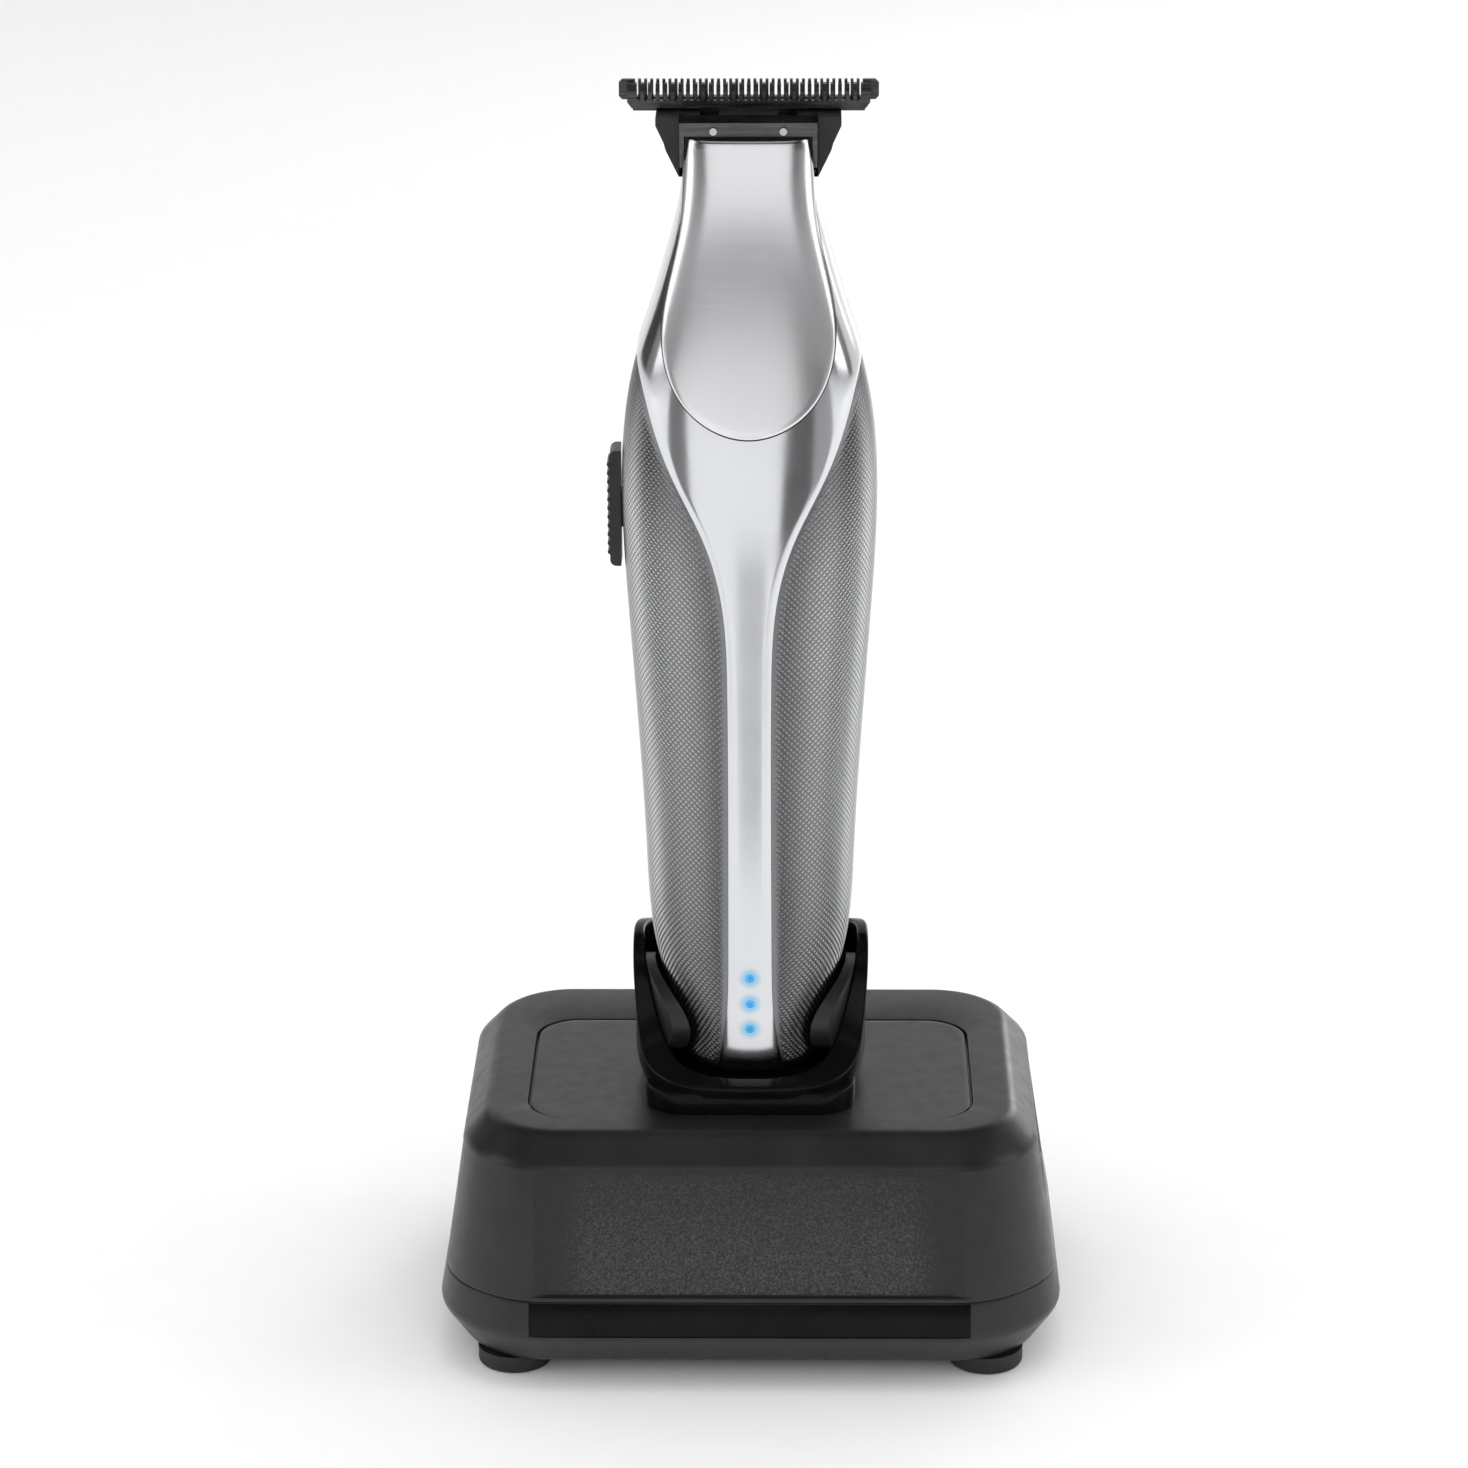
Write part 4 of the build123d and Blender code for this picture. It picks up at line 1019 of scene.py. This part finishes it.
def cup_mesh():
    """Cup with a rounded rim."""
    outer, inner = cup_sections(CUP_OUTER), cup_sections(CUP_INNER)
    low, floor = CUP_OUTER[0][0], CUP_INNER[0][0]
    lines = []
    for angle in circle(CUP_COLUMNS):
        out, into = cup_rim_point(outer, angle), cup_rim_point(inner, angle)
        line = [cup_point(outer, angle, low), cup_point(outer, angle, low + 0.2)]
        start = cup_point(outer, angle, out[2] - RIM_EASE)
        line += [cup_point(outer, angle, low + 0.2 + (start[2] - low - 0.2) * t / 12) for t in range(1, 13)]
        share = min(0.4, RIM_EASE / math.dist(out, into))
        rim_a, rim_b = blend_points(out, into, share), blend_points(out, into, 1 - share)
        end = cup_point(inner, angle, max(into[2] - RIM_EASE, floor + 0.9))
        line += [eased_point(start, out, rim_a, t) for t in (0.2, 0.4, 0.6, 0.8)]
        line += [rim_a, blend_points(rim_a, rim_b, 0.5), rim_b]
        line += [eased_point(rim_b, into, end, t) for t in (0.2, 0.4, 0.6, 0.8)]
        line += [cup_point(inner, angle, end[2] + (floor + 0.8 - end[2]) * t / 12) for t in range(13)]
        bottom = cup_point(inner, angle, floor)
        centre = (0.0, TRIMMER_Y, floor)
        line += [blend_points(bottom, centre, 0.02)[:2] + (floor + 0.25,), blend_points(bottom, centre, 0.06)]
        lines.append(line)
    return stack_rings(list(zip(*lines)))


def plinth_mesh():
    """Low plinth under the cup."""
    foot = (0, PLINTH_WIDTH, PLINTH_DEPTH, PLINTH_RADIUS)
    return stack_rings([rounded_ring(*inset(foot, inward)[1:], DECK_Z + up, PLINTH_MIDDLE)
                        for inward, up in PLINTH_PROFILE])


def pin_tools():
    """Two upright bars that open the cup's floor above the spring pins."""
    tools = []
    for x in (-CONTACT_X, CONTACT_X):
        rings = [[(x + PIN_HOLE * math.cos(a), TRIMMER_Y + PIN_HOLE * math.sin(a), z) for a in circle(32)]
                 for z in (DECK_Z - 1, DECK_Z + 6)]
        tools.append(tool_shape("pin_hole", *stack_rings(rings)))
    return tools


def contact_spring(side):
    """Coil under a spring pin. The CAD spring stays put and is hidden."""
    node, joint = "contact_spring_" + side, "pin_%s_press" % side
    low, high = (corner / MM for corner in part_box(node))
    middle = (low + high) / 2
    reach = (high.x - low.x) / 2 - SPRING_WIRE
    count = SPRING_TURNS * SPRING_STEPS
    rings = []
    for k in range(count + 1):
        turn = 2 * math.pi * k / SPRING_STEPS
        out = Vector((math.cos(turn), math.sin(turn), 0))
        height = low.z + SPRING_WIRE + k / count * (high.z - low.z - 2 * SPRING_WIRE)
        rings.append([Vector((middle.x, middle.y, height)) + out * (reach + SPRING_WIRE * math.cos(a))
                      + Vector((0, 0, SPRING_WIRE * math.sin(a))) for a in circle(10)])
    coil = finish_mesh(node + "_surface", *stack_rings(rings), "stand", "bright_steel", [node])
    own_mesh(coil)


for side in ("left", "right"):
    contact_spring(side)
shell = finish_mesh("stand_shell_surface", *shell_mesh(), "stand", "black_plastic", ["stand_shell"])
dug(shell, [round_tool("socket_hole", 0, SOCKET_HEIGHT, SOCKET_RADIUS, *SOCKET_BAR)])
tray = finish_mesh("stand_tray_surface", *tray_mesh(), "stand", "black_plastic", ["stand_tray"])
pocket = [strip_ring(-STRIP_GAP, deep) for deep in (-3.0, 0.8)]
dug(tray, [tool_shape("strip_pocket", *stack_rings(pocket))])
finish_mesh("deck_plate_surface", *plate_mesh(), "stand", "black_plastic", ["deck_plate"])
panel, spots = panel_sheet(PANEL_HALF, 60, 1.0)
# the marks hold the grain's strength, fading at the panel's ends, and painted shade towards its top
marks = 2 * [grain_and_shade_share(x, z) for x, z in spots]
finish_mesh("front_panel_surface", *panel, "stand", "black_textured", ["front_panel"], marks=marks)
finish_mesh("side_panels_surface", *joined([panel_sheet(SIDE_HALF, 40, 1.2, side)[0] for side in (1, -1)]),
            "stand", "black_textured", ["side_panels"])
finish_mesh("front_strip_surface", *strip_mesh(), "stand", "black_gloss", ["front_strip"])
cup = finish_mesh("cradle_surface", *cup_mesh(), "stand", "black_gloss", ["cradle"])
plinth = finish_mesh("cradle_plinth_surface", *plinth_mesh(), "stand", "black_gloss")
dug(cup, pin_tools())
dug(plinth, pin_tools())


# ---- stage, light and camera ----

CAMERA_PITCH, CAMERA_YAW, CAMERA_ROLL = 19.0, 0.8, 0.2
# from the camera to the middle of the deck: right, up and ahead, in millimetres
DECK_FROM_CAMERA = (2.6, -51.67, 766.0)
SENSOR, LENS = 36.0, 117.4659
BACKDROP_WIDE, BACKDROP_DEEP, BACKDROP_RADIUS, BACKDROP_HIGH, FLOOR_FRONT = 6.0, 2.2, 1.0, 4.0, -5.0
WORLD_STRENGTH = 0.92
LIT_POINT = (0, 0, 0.1)
# soft lights: (name, place, (width, height), watts, whether metal shows it)
LIGHTS = [
    ("front_high", (0.0, -1.1, 0.56), (1.2, 0.44), 1.75, True),
    ("side_left", (-1.0, -0.25, 0.45), (0.5, 0.7), 1.6, True),
    ("side_right", (1.0, -0.1, 0.45), (0.5, 0.7), 1.8, True),
    ("back_right", (0.6, 1.0, 0.35), (0.5, 0.5), 2.6, True),
    ("top", (0.1, 0.1, 1.2), (0.9, 0.7), 2.0, False),
]
# grey cards: (name, angles from the front, lower edge, upper edge, distance, tone)
FLAGS = [
    ("horizon_dark", (-112, 112), 0.05, 0.26, 1.5, 0.16),
    ("horizon_light", (-112, 112), 0.26, 0.42, 1.5, 0.62),
    ("flag_left", (-48, -29), 0.0, 0.13, 0.34, 0.18),
    ("flag_right", (11, 31), 0.0, 0.13, 0.34, 0.10),
    ("flag_right_outer", (31, 52), 0.0, 0.13, 0.35, 0.35),
    ("above", (-60, 60), 0.72, 1.15, 0.5, 0.4),
    ("flag_middle", (-4, 5), 0.0, 0.07, 0.2, 0.6),
    ("flag_behind_left", (-142, -108), 0.12, 0.30, 0.5, 0.03),
]
FLAG_STEPS = 12


def camera():
    """A long lens, a little above and to the right, as the stand is seen."""
    pitch, yaw, roll = (math.radians(a) for a in (CAMERA_PITCH, CAMERA_YAW, CAMERA_ROLL))
    away = Vector(DECK_FROM_CAMERA) * MM
    right = Vector((math.cos(yaw), math.sin(yaw), 0))
    ahead = Vector((-math.sin(yaw) * math.cos(pitch), math.cos(yaw) * math.cos(pitch), -math.sin(pitch)))
    up = right.cross(ahead)
    place = Vector((0, 0, DECK_Z * MM)) - right * away.x - up * away.y - ahead * away.z
    data = bpy.data.cameras.new("camera")
    data.sensor_width = SENSOR
    data.lens = LENS
    obj = bpy.data.objects.new("camera", data)
    turn = Matrix((right, up, -ahead)).transposed().to_4x4()
    obj.matrix_world = Matrix.Translation(place) @ turn @ Matrix.Rotation(-roll, 4, "Z")
    bpy.context.scene.collection.objects.link(obj)
    bpy.context.scene.camera = obj


def area_light(name, place, size, power, shines):
    """A soft rectangular light that faces the trimmer."""
    data = bpy.data.lights.new(name, "AREA")
    data.shape = "RECTANGLE"
    data.size, data.size_y = size
    data.energy = power
    obj = bpy.data.objects.new(name, data)
    obj.location = place
    obj.rotation_euler = (Vector(LIT_POINT) - Vector(place)).to_track_quat("-Z", "Y").to_euler()
    obj.visible_camera = False
    obj.visible_glossy = shines
    bpy.context.scene.collection.objects.link(obj)


def flag(name, turn, low, high, away, tone):
    """A grey card, upright and curved, that only reflections see."""
    verts = []
    for z in (low, high):
        for k in range(FLAG_STEPS + 1):
            a = math.radians(turn[0] + (turn[1] - turn[0]) * k / FLAG_STEPS)
            verts.append((away * math.sin(a), -away * math.cos(a), z))
    obj = new_object(name, verts, sheet_faces(2, FLAG_STEPS + 1))
    paint = plastic_paint(name, (tone,) * 3, (tone * 1.04,) * 3, 0.9, 40, 0.0001, spec=0.0)
    obj.data.materials.append(paint.material)
    obj.visible_camera = obj.visible_diffuse = obj.visible_shadow = False


def studio():
    """White floor and backdrop, soft lights, and grey cards that give the metal its dark bands."""
    line = [(FLOOR_FRONT, 0.0)]
    line += [(BACKDROP_DEEP + BACKDROP_RADIUS * math.sin(a), BACKDROP_RADIUS - BACKDROP_RADIUS * math.cos(a))
             for a in [math.pi / 2 * k / 16 for k in range(17)]]
    line.append((BACKDROP_DEEP + BACKDROP_RADIUS, BACKDROP_HIGH))
    verts = [(x, y, z) for y, z in line for x in (-BACKDROP_WIDE, BACKDROP_WIDE)]
    floor = new_object("floor", verts, sheet_faces(len(line), 2))
    for face in floor.data.polygons:
        face.use_smooth = True
    paint = plastic_paint("pale_floor", (0.90, 0.90, 0.90), (0.91, 0.91, 0.91), 0.8, 40, 0.0001, spec=0.2)
    floor.data.materials.append(paint.material)
    world = bpy.data.worlds.new("studio")
    world.use_nodes = True
    world.node_tree.nodes["Background"].inputs["Color"].default_value = (1, 1, 1, 1)
    world.node_tree.nodes["Background"].inputs["Strength"].default_value = WORLD_STRENGTH
    world.cycles_visibility.glossy = False
    bpy.context.scene.world = world
    for light in LIGHTS:
        area_light(*light)
    for card in FLAGS:
        flag(*card)


camera()
studio()
scene_view = bpy.context.scene.view_settings
scene_view.view_transform = "Standard"
